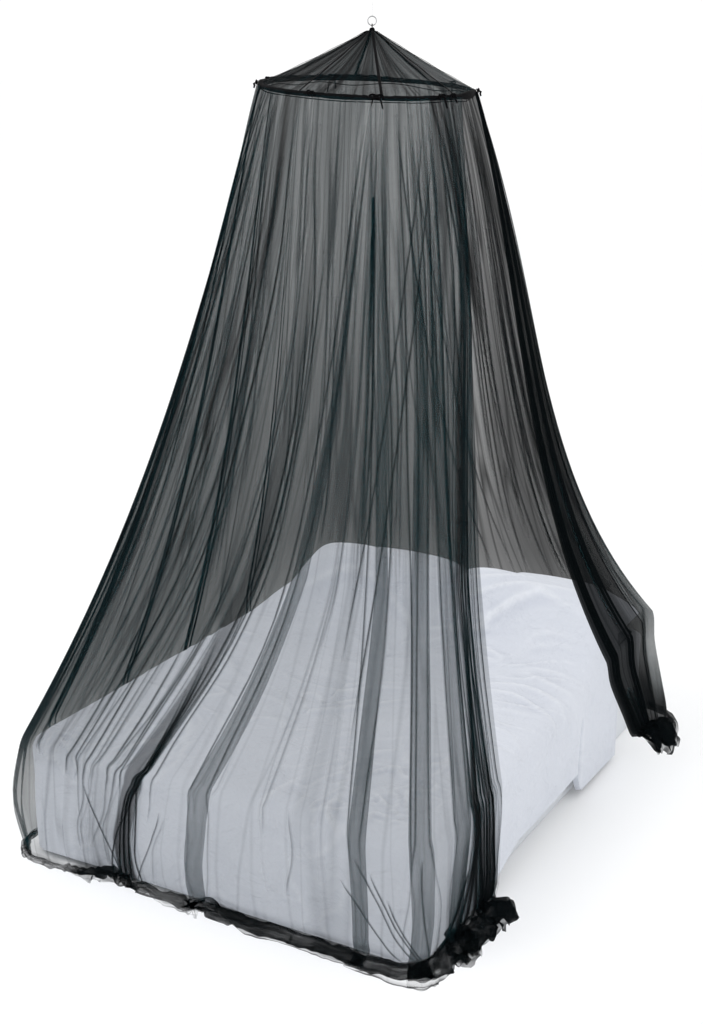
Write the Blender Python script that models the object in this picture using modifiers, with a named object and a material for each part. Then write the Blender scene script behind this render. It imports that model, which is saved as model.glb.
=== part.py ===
"""Mosquito net canopy hung over a double bed.

Metres, +Z up.  The origin is the ceiling mount, on the line that the canopy hangs from.
+X is the right side of the bed seen from its foot, +Y points to the head of the bed.
Every piece is worked out with heights above the floor and then hung from one empty on the floor.

A place on the bed's edge is given by "edge", the way in metres along the bed's outline: 0 at the
right foot corner, positive along the foot, up the left side, across the head and back down the
right side, negative up the right side from the foot corner.
"""

import math

import bmesh
import bpy
import numpy as np
from mathutils import Matrix, Vector

# Room
CEILING = 2.67

# Bed, with its duvet
BED_WIDTH = 1.40
BED_LENGTH = 1.90
BED_CENTRE_X = 0.027
BED_FOOT_Y = -1.025
BED_TOP = 0.40
CORNER_RADIUS = 0.08
SHOULDER_RADIUS = 0.055
BASE_HEIGHT = 0.16
BASE_INSET = 0.05
DUVET_THICKNESS = 0.018
DUVET_HEM = 0.085
DUVET_HEAD_Y = 0.50
DUVET_CROWN = 0.012
UNDER_DUVET = 0.0005
SIDE_ROOM = 0.009
PILLOW_HALF = (0.305, 0.235, 0.105)
PILLOWS_X = (-0.235, 0.370)
PILLOW_LIFT = 0.018

# Hoop and crown
HOOP_HEIGHT = 2.325
HOOP_RADIUS = 0.325
HOOP_SWING = (-0.013, -0.005)
HOOP_SLOPE = 0.063
HOOP_LOW_SIDE = math.radians(-27.4)
ROD_RADIUS = 0.004
APEX_HEIGHT = 2.50
CROWN_SEAMS = 8
CROWN_SAG = 0.010
CROWN_BOW = 0.004
CROWN_RIM = (0.0032, 0.006)
SEAM_WIDTH = 0.006
FIRST_SEAM = math.radians(-54)
BINDING_HEIGHT = 0.018
BINDING_THICKNESS = 0.0015
BINDING_RADIUS = 0.3305
BINDING_WAVES = ((0.0012, 11, 0.0), (0.0008, 17, 1.0))

# Cloth and the gaps between pieces
NET = 0.001
TAPE = 0.0012
GAP = 0.0003

# Hanging gear
RING_RADIUS = 0.0132
RING_WIRE = 0.0018
RING_HEIGHT = 2.5225
LOOP_RADIUS = 0.0062
LOOP_TAPE = 0.0016
KNOT_HALF = (0.0085, 0.0085, 0.0080)
LINE_RADIUS = 0.00075
HOOK_WIRE = 0.002
HOOK_BEND = 0.010
HOOK_LOW = 2.618
PLATE_RADIUS = 0.022
PLATE_THICKNESS = 0.003

# Side net: how each stretch of it runs from the hoop over the bed's edge to the floor.
# hoop is the angle of its start, bow how far it sags inwards on the way, height and clear the
# height at which it meets the bed and its way out there, shift and out how far along and away
# from the bed it lands, pile the size of the heap that its hem makes.
STATIONS_COLUMNS = ("edge", "hoop", "bow", "height", "clear", "shift", "out", "pile")
STATIONS = (
    (-0.47, -4, 0.48, 0.402, 0.006, 0.10, 0.040, 1.8),
    (-0.37, -9, 0.48, 0.402, 0.006, 0.12, 0.030, 2.4),
    (-0.15, -25, 0.48, 0.402, 0.006, 0.08, 0.022, 2.0),
    (0.02, -36, 0.48, 0.402, 0.006, 0.02, 0.018, 1.4),
    (0.20, -47, 0.48, 0.402, 0.006, -0.02, 0.018, 1.2),
    (0.72, -62, 0.48, 0.402, 0.006, -0.02, 0.018, 1.0),
    (1.08, -90, 0.48, 0.402, 0.006, -0.06, 0.014, 0.7),
    (1.40, -124, 0.50, 0.402, 0.012, 0.00, 0.030, 0.4),
    (2.30, -178, 0.55, 0.405, 0.006, 0.00, 0.050, 0.8),
    (2.70, -200, 0.70, 0.450, 0.008, 0.00, 0.050, 0.9),
    (3.30, -233, 0.80, 0.450, 0.008, 0.00, 0.050, 0.9),
    (4.00, -275, 0.90, 0.450, 0.008, 0.00, 0.050, 0.9),
    (4.66, -318, 1.15, 0.440, 0.004, 0.02, 0.075, 1.0),
    (4.84, -326, 1.15, 0.470, 0.006, 0.02, 0.095, 1.2),
    (5.05, -337, 1.00, 0.460, 0.010, -0.15, 0.070, 1.5),
    (5.20, -345, 0.92, 0.440, 0.008, -0.27, 0.045, 1.7),
)

# Folds of the side net.  A pleat lies flat in three plies, a gather is a bundle of small
# zigzags, a wave is one soft ridge.
FOLDS_COLUMNS = ("kind", "edge", "width", "depth", "turns")
FOLDS = (
    ("gather", -0.36, 0.055, 0.022, 4),
    ("pleat", -0.235, 0.050, 0.014, 1),
    ("pleat", -0.06, 0.060, 0.014, 1),
    ("gather", 0.06, 0.016, 0.012, 1),
    ("pleat", 0.21, 0.050, 0.014, 1),
    ("wave", 0.44, 0.090, 0.010, 1),
    ("pleat", 0.72, 0.070, 0.014, 1),
    ("wave", 0.90, 0.070, 0.010, 1),
    ("gather", 1.08, 0.055, 0.020, 3),
    ("gather", 1.20, 0.020, 0.012, 1),
    ("gather", 1.40, 0.110, 0.026, 3),
    ("gather", 1.58, 0.050, 0.022, 2),
    ("wave", 1.77, 0.080, 0.024, 1),
    ("gather", 1.96, 0.045, 0.022, 2),
    ("wave", 2.14, 0.080, 0.026, 1),
    ("gather", 2.33, 0.050, 0.024, 2),
    ("wave", 2.53, 0.090, 0.026, 1),
    ("gather", 2.74, 0.045, 0.022, 2),
    ("wave", 2.98, 0.080, 0.024, 1),
    ("wave", 3.30, 0.160, 0.016, 1),
    ("wave", 3.58, 0.070, 0.018, 1),
    ("gather", 3.82, 0.030, 0.018, 1),
    ("wave", 4.06, 0.070, 0.018, 1),
    ("wave", 4.34, 0.070, 0.020, 1),
    ("wave", 4.70, 0.160, 0.008, 1),
    ("gather", 4.87, 0.050, 0.014, 2),
    ("gather", 5.01, 0.045, 0.022, 2),
    ("gather", 5.15, 0.050, 0.022, 3),
)
PLAIN_STEP = 0.095
PLAIN_WAVE = 0.005
FOLDS_AT_HOOP = 0.25
FOLDS_BESIDE_BED = (1.3, 1.3, 0.8)
FOLDS_ON_FLOOR = 0.30

# Side net, down its length: shares of the way from hoop to bed, then heights and shares of the
# way out at the bed's side, then steps out and up in the heap that the hem makes.
HANG_SHARES = (0.0, 0.17, 0.35, 0.53, 0.70, 0.86, 1.0)
SIDE_ROWS = ((0.345, 0.15), (0.20, 0.55), (0.085, 0.90))
PILE_ROWS = ((0.000, 0.020), (0.044, 0.004), (0.054, 0.015),
             (0.014, 0.028), (0.050, 0.034), (0.080, 0.003))
PILE_REACH = (0.7, 0.3)
CONTACT_ANGLE = math.radians(35)
LOW_CONTACT = (0.41, 0.43)
NET_OFF_BINDING = 0.004
NET_TOP_RISE = 0.001

# Ribbon ties round the hoop: where, and how long and how far apart the two ends hang.
TIES_COLUMNS = ("angle", "left", "right", "spread")
TIES = (
    (-148, 0.030, 0.042, 0.016),
    (-90, 0.036, 0.024, 0.012),
    (-57, 0.040, 0.034, 0.018),
    (-22, 0.024, 0.034, 0.012),
    (-14, 0.030, 0.022, 0.010),
    (24, 0.026, 0.036, 0.014),
    (66, 0.032, 0.026, 0.012),
    (138, 0.040, 0.052, 0.014),
    (186, 0.028, 0.034, 0.012),
)
TIE_FLARE = 0.42
TIE_KNOT_RISE = 0.0062

COLOURS = {
    "black_net": (0.012, 0.014, 0.014, 0.9),
    "black_tape": (0.006, 0.006, 0.007, 0.8),
    "black_rod": (0.010, 0.010, 0.011, 0.45),
    "steel": (0.60, 0.60, 0.61, 0.30),
    "clear_line": (0.75, 0.76, 0.78, 0.25),
    "white_cotton": (0.78, 0.79, 0.82, 0.85),
    "mattress_cloth": (0.80, 0.80, 0.80, 0.90),
}


def column(table, columns, name):
    """One named column of a table, as an array or, for words, a list."""
    values = [row[columns.index(name)] for row in table]
    return values if isinstance(values[0], str) else np.array(values, float)


def station(name, edge):
    """The named column of the stations at each place along the edge, eased between its rows."""
    known = column(STATIONS, STATIONS_COLUMNS, "edge")
    values = column(STATIONS, STATIONS_COLUMNS, name)
    reach = 0.05
    return sum(np.interp(edge + step * reach, known, values) for step in (-1, 0, 1)) / 3


def edge_point(edge, out):
    """The point that lies out from the bed's rounded outline, at each place along its edge."""
    left, right = BED_CENTRE_X - BED_WIDTH / 2, BED_CENTRE_X + BED_WIDTH / 2
    foot, head = BED_FOOT_Y, BED_FOOT_Y + BED_LENGTH
    stops = np.cumsum([-BED_LENGTH, BED_LENGTH, BED_WIDTH, BED_LENGTH, BED_WIDTH, BED_LENGTH])
    x = np.interp(edge, stops, (right, right, left, left, right, right))
    y = np.interp(edge, stops, (head, foot, foot, head, head, foot))
    inner_x = np.clip(x, left + CORNER_RADIUS, right - CORNER_RADIUS)
    inner_y = np.clip(y, foot + CORNER_RADIUS, head - CORNER_RADIUS)
    way_x, way_y = x - inner_x, y - inner_y
    length = np.hypot(way_x, way_y)
    reach = (CORNER_RADIUS + out) / length
    return inner_x + way_x * reach, inner_y + way_y * reach


def hoop_point(angle, radius, rise):
    """A point beside the tilted hoop: radius from its centre, rise above its plane."""
    x = HOOP_SWING[0] + radius * np.cos(angle)
    y = HOOP_SWING[1] + radius * np.sin(angle)
    z = HOOP_HEIGHT + rise - HOOP_SLOPE * radius * np.cos(angle - HOOP_LOW_SIDE)
    return x, y, z


def material(name):
    """A plain material in the named colour; steel is the only metal."""
    if name in bpy.data.materials:
        return bpy.data.materials[name]
    red, green, blue, roughness = COLOURS[name]
    made = bpy.data.materials.new(name)
    made.use_nodes = True
    shader = made.node_tree.nodes["Principled BSDF"]
    shader.inputs["Base Color"].default_value = (red, green, blue, 1)
    shader.inputs["Roughness"].default_value = roughness
    shader.inputs["Metallic"].default_value = float(name == "steel")
    made.diffuse_color = (red, green, blue, 1)
    return made


def place(obj, name, colour):
    """Name the object, give it its material, and hang it from the floor's empty."""
    obj.name = name
    obj.data.materials.clear()
    obj.data.materials.append(material(colour))
    for home in list(obj.users_collection):
        home.objects.unlink(obj)
    bpy.data.collections["mosquito_net_canopy"].objects.link(obj)
    obj.parent = bpy.data.objects["floor_frame"]
    return obj


def mesh_object(name, colour, points, faces):
    """A new mesh object from points and faces."""
    mesh = bpy.data.meshes.new(name)
    mesh.from_pydata(np.asarray(points).reshape(-1, 3).tolist(), [], faces)
    mesh.update()
    return place(bpy.data.objects.new(name, mesh), name, colour)


def grid_faces(rows, columns, around=False, flip=False):
    """The four-sided faces of a grid of rows by columns, closed round its columns if asked."""
    faces = []
    for row in range(rows - 1):
        for this in range(columns if around else columns - 1):
            that = (this + 1) % columns
            face = (row * columns + this, row * columns + that,
                    (row + 1) * columns + that, (row + 1) * columns + this)
            faces.append(face[::-1] if flip else face)
    return faces


def sheet(name, colour, points, thickness, around=False, offset=0.0, flip=False):
    """A sheet of cloth: an open grid surface, thickened."""
    points = np.asarray(points)
    faces = grid_faces(points.shape[0], points.shape[1], around, flip)
    obj = mesh_object(name, colour, points, faces)
    thick = obj.modifiers.new("thickness", "SOLIDIFY")
    thick.thickness = thickness
    thick.offset = offset
    obj.data.shade_smooth()
    return obj


def box(name, colour, size, centre, rounding):
    """A box with rounded edges."""
    bpy.ops.mesh.primitive_cube_add(size=1, location=centre)
    obj = bpy.context.object
    obj.data.transform(Matrix.Diagonal((*size, 1)))
    bevel = obj.modifiers.new("rounding", "BEVEL")
    bevel.width = rounding
    bevel.segments = 3
    return place(obj, name, colour)


def wire(name, colour, points, radius, sides=2):
    """A round wire or line along the points."""
    curve = bpy.data.curves.new(name, "CURVE")
    curve.dimensions = "3D"
    curve.bevel_depth = radius
    curve.bevel_resolution = sides
    curve.use_fill_caps = True
    spline = curve.splines.new("POLY")
    spline.points.add(len(points) - 1)
    for point, place_at in zip(spline.points, points):
        point.co = (*place_at, 1)
    return place(bpy.data.objects.new(name, curve), name, colour)


def net_section():
    """The side net's cross section: place along the edge and share of its fold, column by column."""
    edge, depth = [column(STATIONS, STATIONS_COLUMNS, "edge")[0]], [0.0]
    last = column(STATIONS, STATIONS_COLUMNS, "edge")[-1]
    for kind, middle, width, deep, turns in FOLDS:
        start = middle - width / 2
        steps = max(1, round((start - edge[-1]) / PLAIN_STEP))
        for step in range(1, steps):
            edge.append(edge[-1] + (start - edge[-1]) / (steps - step + 1))
            depth.append(PLAIN_WAVE * (step % 2))
        if kind == "pleat":
            along, up = (-0.5, 0.5, 0.53, 0.5, -0.5, -0.53, -0.5, 0.5), (0, 0, 0.25, 0.5, 0.5, 0.75, 1, 1)
        elif kind == "gather":
            along = np.linspace(-0.5, 0.5, 2 * turns + 1)
            up = np.arange(2 * turns + 1) % 2
        else:
            along, up = (-0.5, -0.17, 0.17, 0.5), (0, 1, 0.85, 0)
        edge += [middle + width * share for share in along]
        depth += [deep * share for share in up]
    if last - edge[-1] > 0.01:
        edge.append(last)
        depth.append(0.0)
    return np.array(edge), np.array(depth)


def net_base(edge):
    """The side net without its folds: one row of points for each step down its length.

    It bows inwards between hoop and bed like a hanging sheet, meets the bed's rounded
    shoulder, falls beside it, and its hem turns back and forth once in a low heap."""
    bow, height = station("bow", edge), station("height", edge)
    clear, out = station("clear", edge), station("out", edge)
    shift, pile = station("shift", edge), station("pile", edge)
    start = np.radians(station("hoop", edge))
    top = hoop_point(start, BINDING_RADIUS + NET_OFF_BINDING, NET_TOP_RISE)
    on_shoulder = np.interp(height, LOW_CONTACT, (1, 0))
    contact = clear - SHOULDER_RADIUS * (1 - math.cos(CONTACT_ANGLE)) * on_shoulder
    bed = (*edge_point(edge, contact), height)
    rows = []
    for share in HANG_SHARES:
        plan = share - bow * share ** (1 + bow) * (1 - share)
        rows.append([top[0] + (bed[0] - top[0]) * plan,
                     top[1] + (bed[1] - top[1]) * plan,
                     top[2] + (bed[2] - top[2]) * share])
    for level, share in SIDE_ROWS:
        fall = 1 - level / BED_TOP
        x, y = edge_point(edge + shift * fall, clear + (out - clear) * share)
        rows.append([x, y, np.full_like(x, level)])
    for step, rise in PILE_ROWS:
        x, y = edge_point(edge + shift, out + step * (PILE_REACH[0] + PILE_REACH[1] * pile))
        on_floor = rise < 0.01
        rows.append([x, y, rise + NET if on_floor else rise * pile])
    return np.array([[x, y, z + np.zeros_like(x)] for x, y, z in rows]).transpose(0, 2, 1)


def net_points():
    """The side net's points, with each fold standing out along the surface's own normal."""
    edge, depth = net_section()
    base = net_base(edge)
    nudge = 0.004
    along = net_base(edge + nudge) - net_base(edge - nudge)
    down = np.gradient(base, axis=0)
    normal = np.cross(along, down)
    normal /= np.linalg.norm(normal, axis=2, keepdims=True)
    hang, pile = len(HANG_SHARES), len(PILE_ROWS)
    scale = np.concatenate([np.linspace(FOLDS_AT_HOOP, 1, hang), FOLDS_BESIDE_BED,
                            np.full(pile, FOLDS_ON_FLOOR)])
    points = base + normal * (depth[None, :] * scale[:, None])[:, :, None]
    points[:, :, 2] = np.maximum(points[:, :, 2], NET)
    return points


def side_net():
    return sheet("side_net", "black_net", net_points(), NET)


def crown_net():
    """The cone: its net sags a little between the seams and comes in under the binding's top."""
    angles = np.linspace(0, 2 * math.pi, 6 * CROWN_SEAMS, endpoint=False) + FIRST_SEAM
    rows = []
    tip = (KNOT_HALF[0] + 3 * GAP) / (HOOP_RADIUS + CROWN_RIM[0])
    for share in (tip, 0.28, 0.52, 0.76, 1.0):
        rows.append(crown_point(angles, share, 0.0))
    return sheet("crown_net", "black_net", np.array(rows), NET, around=True, flip=True)


def crown_point(angle, share, rise):
    """A point of the cone, share of the way from its tip to the hoop, with its sag between seams."""
    rim_x, rim_y, rim_z = hoop_point(angle, HOOP_RADIUS + CROWN_RIM[0], CROWN_RIM[1])
    between = np.abs(np.sin((angle - FIRST_SEAM) * CROWN_SEAMS / 2))
    sag = CROWN_SAG * between * 4 * share * (1 - share) + CROWN_BOW * math.sin(math.pi * share)
    return np.stack([rim_x * share, rim_y * share,
                     APEX_HEIGHT + (rim_z - APEX_HEIGHT) * share - sag + rise], axis=-1)


def crown_seams():
    """A narrow tape over each seam of the cone."""
    shares = np.linspace(0.09, 0.985, 5)
    for number in range(CROWN_SEAMS):
        angle = FIRST_SEAM + number * 2 * math.pi / CROWN_SEAMS
        rows = []
        for share in shares:
            middle = crown_point(np.array([angle]), share, NET / 2 + TAPE / 2 + 3 * GAP)[0]
            across = np.array([-math.sin(angle), math.cos(angle), 0]) * SEAM_WIDTH / 2
            rows.append([middle - across, middle + across])
        sheet(f"crown_seam_{number + 1}", "black_tape", np.array(rows), TAPE, flip=True)


def hoop():
    """The round rod, tilted about the middle of the canopy."""
    bpy.ops.mesh.primitive_torus_add(
        major_segments=64, minor_segments=6, major_radius=HOOP_RADIUS, minor_radius=ROD_RADIUS)
    obj = bpy.context.object
    points = np.array([vertex.co for vertex in obj.data.vertices])
    angle = np.arctan2(points[:, 1], points[:, 0])
    radius = np.hypot(points[:, 0], points[:, 1])
    placed = np.stack(hoop_point(angle, radius, points[:, 2]), axis=1)
    obj.data.vertices.foreach_set("co", placed.ravel())
    obj.data.shade_smooth()
    return place(obj, "hoop", "black_rod")


def hoop_binding():
    """The tape that goes round outside the rod, a little wavy along its lower edge."""
    angles = np.linspace(0, 2 * math.pi, 64, endpoint=False)
    wave = sum(size * np.sin(count * angles + start) for size, count, start in BINDING_WAVES)
    rows = []
    for rise in (-BINDING_HEIGHT / 2, BINDING_HEIGHT / 2):
        rows.append(np.stack(hoop_point(angles, BINDING_RADIUS, rise + wave), axis=1))
    return sheet("hoop_binding", "black_tape", np.array(rows), BINDING_THICKNESS, around=True)


def ribbon_ties():
    """Each tie is one ribbon: an end hangs, rises to the knot on the binding, and hangs again."""
    face = BINDING_RADIUS + BINDING_THICKNESS / 2 + GAP
    for number, (degrees, left, right, spread) in enumerate(TIES, 1):
        angle = math.radians(degrees)
        outward = np.array([math.cos(angle), math.sin(angle), 0])
        across = np.array([-math.sin(angle), math.cos(angle), 0])
        knot = np.array(hoop_point(angle, face, TIE_KNOT_RISE))
        # across, out and up from the knot, then half the width and half the thickness; the two
        # ends lie outside the flaring net
        path = (
            (-spread, 0.0175 + TIE_FLARE * left, -left, 0.0030, 0.0006),
            (-spread * 0.8, 0.0175 + TIE_FLARE * left * 0.55, -left * 0.55, 0.0030, 0.0006),
            (-spread * 0.5, 0.0175, -0.002, 0.0030, 0.0008),
            (-0.0045, 0.0016, 0.0000, 0.0032, 0.0025),
            (0.0045, 0.0016, 0.0005, 0.0032, 0.0025),
            (spread * 0.5, 0.0175, -0.002, 0.0030, 0.0008),
            (spread * 0.8, 0.0175 + TIE_FLARE * right * 0.55, -right * 0.55, 0.0030, 0.0006),
            (spread, 0.0175 + TIE_FLARE * right, -right, 0.0030, 0.0006),
        )
        rings = []
        middles = [knot + across * a + outward * o + np.array([0, 0, u]) for a, o, u, _, _ in path]
        for place_at, (_, _, _, wide, thick) in enumerate(path):
            before, after = middles[max(place_at - 1, 0)], middles[min(place_at + 1, len(path) - 1)]
            way = (after - before) / np.linalg.norm(after - before)
            flat = np.cross(way, outward)
            flat /= np.linalg.norm(flat)
            up = np.cross(flat, way)
            middle = middles[place_at]
            rings.append([middle + flat * wide * a + up * thick * b
                          for a, b in ((-1, -1), (1, -1), (1, 1), (-1, 1))])
        loft(f"tie_{number}", "black_tape", rings)


def loft(name, colour, rings):
    """A closed solid through rings of equal count, capped at both ends."""
    rings = np.array(rings)
    count, sides = rings.shape[:2]
    faces = grid_faces(count, sides, around=True)
    faces.append(tuple(range(sides))[::-1])
    faces.append(tuple(range((count - 1) * sides, count * sides)))
    obj = mesh_object(name, colour, rings, faces)
    shape = bmesh.new()
    shape.from_mesh(obj.data)
    bmesh.ops.recalc_face_normals(shape, faces=shape.faces)
    shape.to_mesh(obj.data)
    shape.free()
    return obj


def top_loop():
    """The knot at the cone's tip and the small tape loop that the ring hangs in."""
    loop_height = RING_HEIGHT - RING_RADIUS + RING_WIRE + GAP - (LOOP_RADIUS - LOOP_TAPE)
    bpy.ops.mesh.primitive_torus_add(
        major_segments=20, minor_segments=6, major_radius=LOOP_RADIUS, minor_radius=LOOP_TAPE,
        location=(0, 0, loop_height), rotation=(math.pi / 2, 0, 0))
    loop = bpy.context.object
    bpy.ops.mesh.primitive_uv_sphere_add(segments=12, ring_count=8, radius=1)
    knot = bpy.context.object
    knot.data.transform(Matrix.Diagonal((*KNOT_HALF, 1)))
    knot.location = (0, 0, loop_height - 2 * LOOP_RADIUS)
    join = loop.modifiers.new("knot", "BOOLEAN")
    join.operation = "UNION"
    join.object = knot
    hide_cutter(knot, "top_knot_form")
    return place(loop, "top_loop", "black_tape")


def hide_cutter(obj, name):
    """Keep a helper shape out of the model."""
    obj.name = name
    for home in list(obj.users_collection):
        home.objects.unlink(obj)
    bpy.data.collections["cutters"].objects.link(obj)
    obj.parent = bpy.data.objects["floor_frame"]
    obj.hide_render = True
    obj.display_type = "WIRE"


def top_ring():
    """The steel ring, upright, linked through the tape loop."""
    bpy.ops.mesh.primitive_torus_add(
        major_segments=24, minor_segments=6, major_radius=RING_RADIUS, minor_radius=RING_WIRE,
        location=(0, 0, RING_HEIGHT), rotation=(0, math.pi / 2, 0))
    obj = bpy.context.object
    obj.data.shade_smooth()
    return place(obj, "top_ring", "steel")


def hanging_line():
    """Nylon line, drawn tight from the top of the ring to the hook."""
    low = RING_HEIGHT + RING_RADIUS + RING_WIRE + GAP
    high = HOOK_LOW - GAP
    points = [(0, 0, low + (high - low) * step / 8) for step in range(9)]
    return wire("hanging_line", "clear_line", points, LINE_RADIUS)


def ceiling_hook():
    """A round wire hook under a flat plate that is screwed to the ceiling."""
    centre = HOOK_LOW + HOOK_WIRE + HOOK_BEND
    turn = np.radians(np.arange(70, -191, -20))
    bend = [(HOOK_BEND * math.cos(angle), 0, centre + HOOK_BEND * math.sin(angle)) for angle in turn]
    shank = [(0, 0, CEILING - PLATE_THICKNESS - GAP), (0, 0, centre + HOOK_BEND + 0.004),
             (0.0008, 0, centre + HOOK_BEND + 0.001)]
    return wire("ceiling_hook", "steel", shank + bend, HOOK_WIRE)


def ceiling_plate():
    bpy.ops.mesh.primitive_cylinder_add(
        vertices=32, radius=PLATE_RADIUS, depth=PLATE_THICKNESS,
        location=(0, 0, CEILING - PLATE_THICKNESS / 2))
    return place(bpy.context.object, "ceiling_plate", "steel")


def bed_base():
    size = (BED_WIDTH - 2 * BASE_INSET, BED_LENGTH - 2 * BASE_INSET, BASE_HEIGHT)
    centre = (BED_CENTRE_X, BED_FOOT_Y + BED_LENGTH / 2, BASE_HEIGHT / 2)
    return box("bed_base", "mattress_cloth", size, centre, 0.008)


def mattress_top():
    return BED_TOP - DUVET_THICKNESS - UNDER_DUVET


def mattress():
    side = DUVET_THICKNESS + SIDE_ROOM
    low = BASE_HEIGHT + GAP
    size = (BED_WIDTH - 2 * side, BED_LENGTH - 2 * side, mattress_top() - low)
    centre = (BED_CENTRE_X, BED_FOOT_Y + BED_LENGTH / 2, (mattress_top() + low) / 2)
    return box("mattress", "mattress_cloth", size, centre, 0.040)


def pillow_centres():
    """Both pillows lie side by side at the head, the right one a little further out."""
    y = BED_FOOT_Y + BED_LENGTH - PILLOW_HALF[1] - 0.035
    return {name: (BED_CENTRE_X + x, y) for name, x in zip(("pillow_left", "pillow_right"), PILLOWS_X)}


def pillow(name, centre):
    """A filled case: fat in the middle, thin at its four corners, sides drawn in between them."""
    bpy.ops.mesh.primitive_uv_sphere_add(segments=20, ring_count=8, radius=1)
    obj = bpy.context.object
    points = np.array([vertex.co for vertex in obj.data.vertices])
    flat = np.hypot(points[:, 0], points[:, 1]) + 1e-9
    square = flat / np.maximum(np.abs(points[:, 0]), np.abs(points[:, 1])).clip(1e-9)
    u = np.clip(points[:, 0] * square**0.8, -1, 1)
    v = np.clip(points[:, 1] * square**0.8, -1, 1)
    half_x, half_y, half_z = PILLOW_HALF
    x = half_x * u * (1 - 0.06 * (1 - v**2))
    y = half_y * v * (1 - 0.08 * (1 - u**2))
    fat = np.sqrt(np.clip((1 - 0.96 * u**4) * (1 - 0.96 * v**4), 0, 1))
    rim, flat_below = 0.6, 0.85
    level = np.maximum(points[:, 2], -flat_below)
    rise = np.where(level > 0, 2 - rim, rim / flat_below)
    z = mattress_top() + GAP + half_z * (rim + level * rise * (0.35 + 0.65 * fat))
    placed = np.stack([centre[0] + x, centre[1] + y, z], axis=1)
    obj.data.vertices.foreach_set("co", placed.ravel())
    obj.data.shade_smooth()
    return place(obj, name, "white_cotton")


def pillow_lift(x, y):
    """How far the duvet is raised where it rides up over the pillows: a soft mound over each."""
    lift = np.zeros_like(x)
    for centre_x, centre_y in pillow_centres().values():
        u = (x - centre_x) / (PILLOW_HALF[0] + 0.03)
        v = (y - centre_y) / (PILLOW_HALF[1] + 0.03)
        mound = 1 / ((1 + u**8) * (1 + v**8))
        lift = np.maximum(lift, (2 * PILLOW_HALF[2] + PILLOW_LIFT) * mound)
    return lift


def duvet():
    """A grid cut flat and laid on the bed: what lies past the inner rectangle rolls over the
    bed's shoulder and then hangs straight, at the corners too, where the way past it is the
    larger of the two ways across and along."""
    quarter = SHOULDER_RADIUS * math.pi / 2
    drop = quarter + BED_TOP - SHOULDER_RADIUS - DUVET_HEM
    inner = BED_WIDTH / 2 - CORNER_RADIUS
    flat = CORNER_RADIUS - SHOULDER_RADIUS
    past = flat + np.array([0, 0.25 * quarter, 0.5 * quarter, 0.75 * quarter, quarter, 0.65 * drop, drop])
    middle = np.linspace(-inner, inner, 11)
    across = np.concatenate([-inner - past[::-1], middle, inner + past])
    foot, head = BED_FOOT_Y + CORNER_RADIUS, DUVET_HEAD_Y
    along = np.concatenate([foot - past[::-1], np.linspace(foot, head, 12)])
    a, b = np.meshgrid(across, along)
    in_x, in_y = np.clip(a, -inner, inner), np.clip(b, foot, None)
    way_x, way_y = a - in_x, b - in_y
    length = np.hypot(way_x, way_y)
    further = np.maximum(np.abs(way_x), np.abs(way_y))
    turn = np.clip((further - flat) / SHOULDER_RADIUS, 0, math.pi / 2)
    reach = np.minimum(further, flat) + SHOULDER_RADIUS * np.sin(turn)
    sink = SHOULDER_RADIUS * (1 - np.cos(turn)) + np.clip(further - flat - quarter, 0, None)
    unit = np.where(length > 0, 1 / np.where(length > 0, length, 1), 0)
    x = BED_CENTRE_X + in_x + way_x * unit * reach
    y = in_y + way_y * unit * reach
    crown = DUVET_CROWN * (1 - (in_x / inner) ** 2) * np.clip((y - foot) / 0.3, 0, 1)
    z = BED_TOP - sink + crown + pillow_lift(x, y) * np.clip(1 - sink / 0.06, 0, 1)
    points = np.stack([x, y, z], axis=-1)
    return sheet("duvet", "white_cotton", points, DUVET_THICKNESS, offset=-1.0)


def start_scene():
    """An empty scene with the model's collection, the helpers' collection and the floor's empty."""
    for obj in list(bpy.data.objects):
        bpy.data.objects.remove(obj, do_unlink=True)
    for name in ("mosquito_net_canopy", "cutters"):
        bpy.context.scene.collection.children.link(bpy.data.collections.new(name))
    frame = bpy.data.objects.new("floor_frame", None)
    frame.location = Vector((0, 0, -CEILING))
    bpy.data.collections["mosquito_net_canopy"].objects.link(frame)


def main():
    start_scene()
    ceiling_plate()
    ceiling_hook()
    hanging_line()
    top_ring()
    top_loop()
    crown_net()
    crown_seams()
    hoop()
    hoop_binding()
    ribbon_ties()
    side_net()
    bed_base()
    mattress()
    for name, centre in pillow_centres().items():
        pillow(name, centre)
    duvet()


main()
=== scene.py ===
"""The looks of a mosquito net canopy that hangs over a bed.

Metres, +Z up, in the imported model's frame: the origin is the ceiling mount, +X is the right side
of the bed seen from its foot, +Y points to its head, and the floor lies CEILING below.

A place round the bed is given by "edge", the way in metres along the bed's outline: 0 at the
right foot corner, positive along the foot, up the left side, across the head and back down the
right side, negative up the right side from the foot corner.  A place down the net is given by
"level": 0 at the hoop, 1 where the net meets the bed, 2 at the floor.
"""

import math

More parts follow.
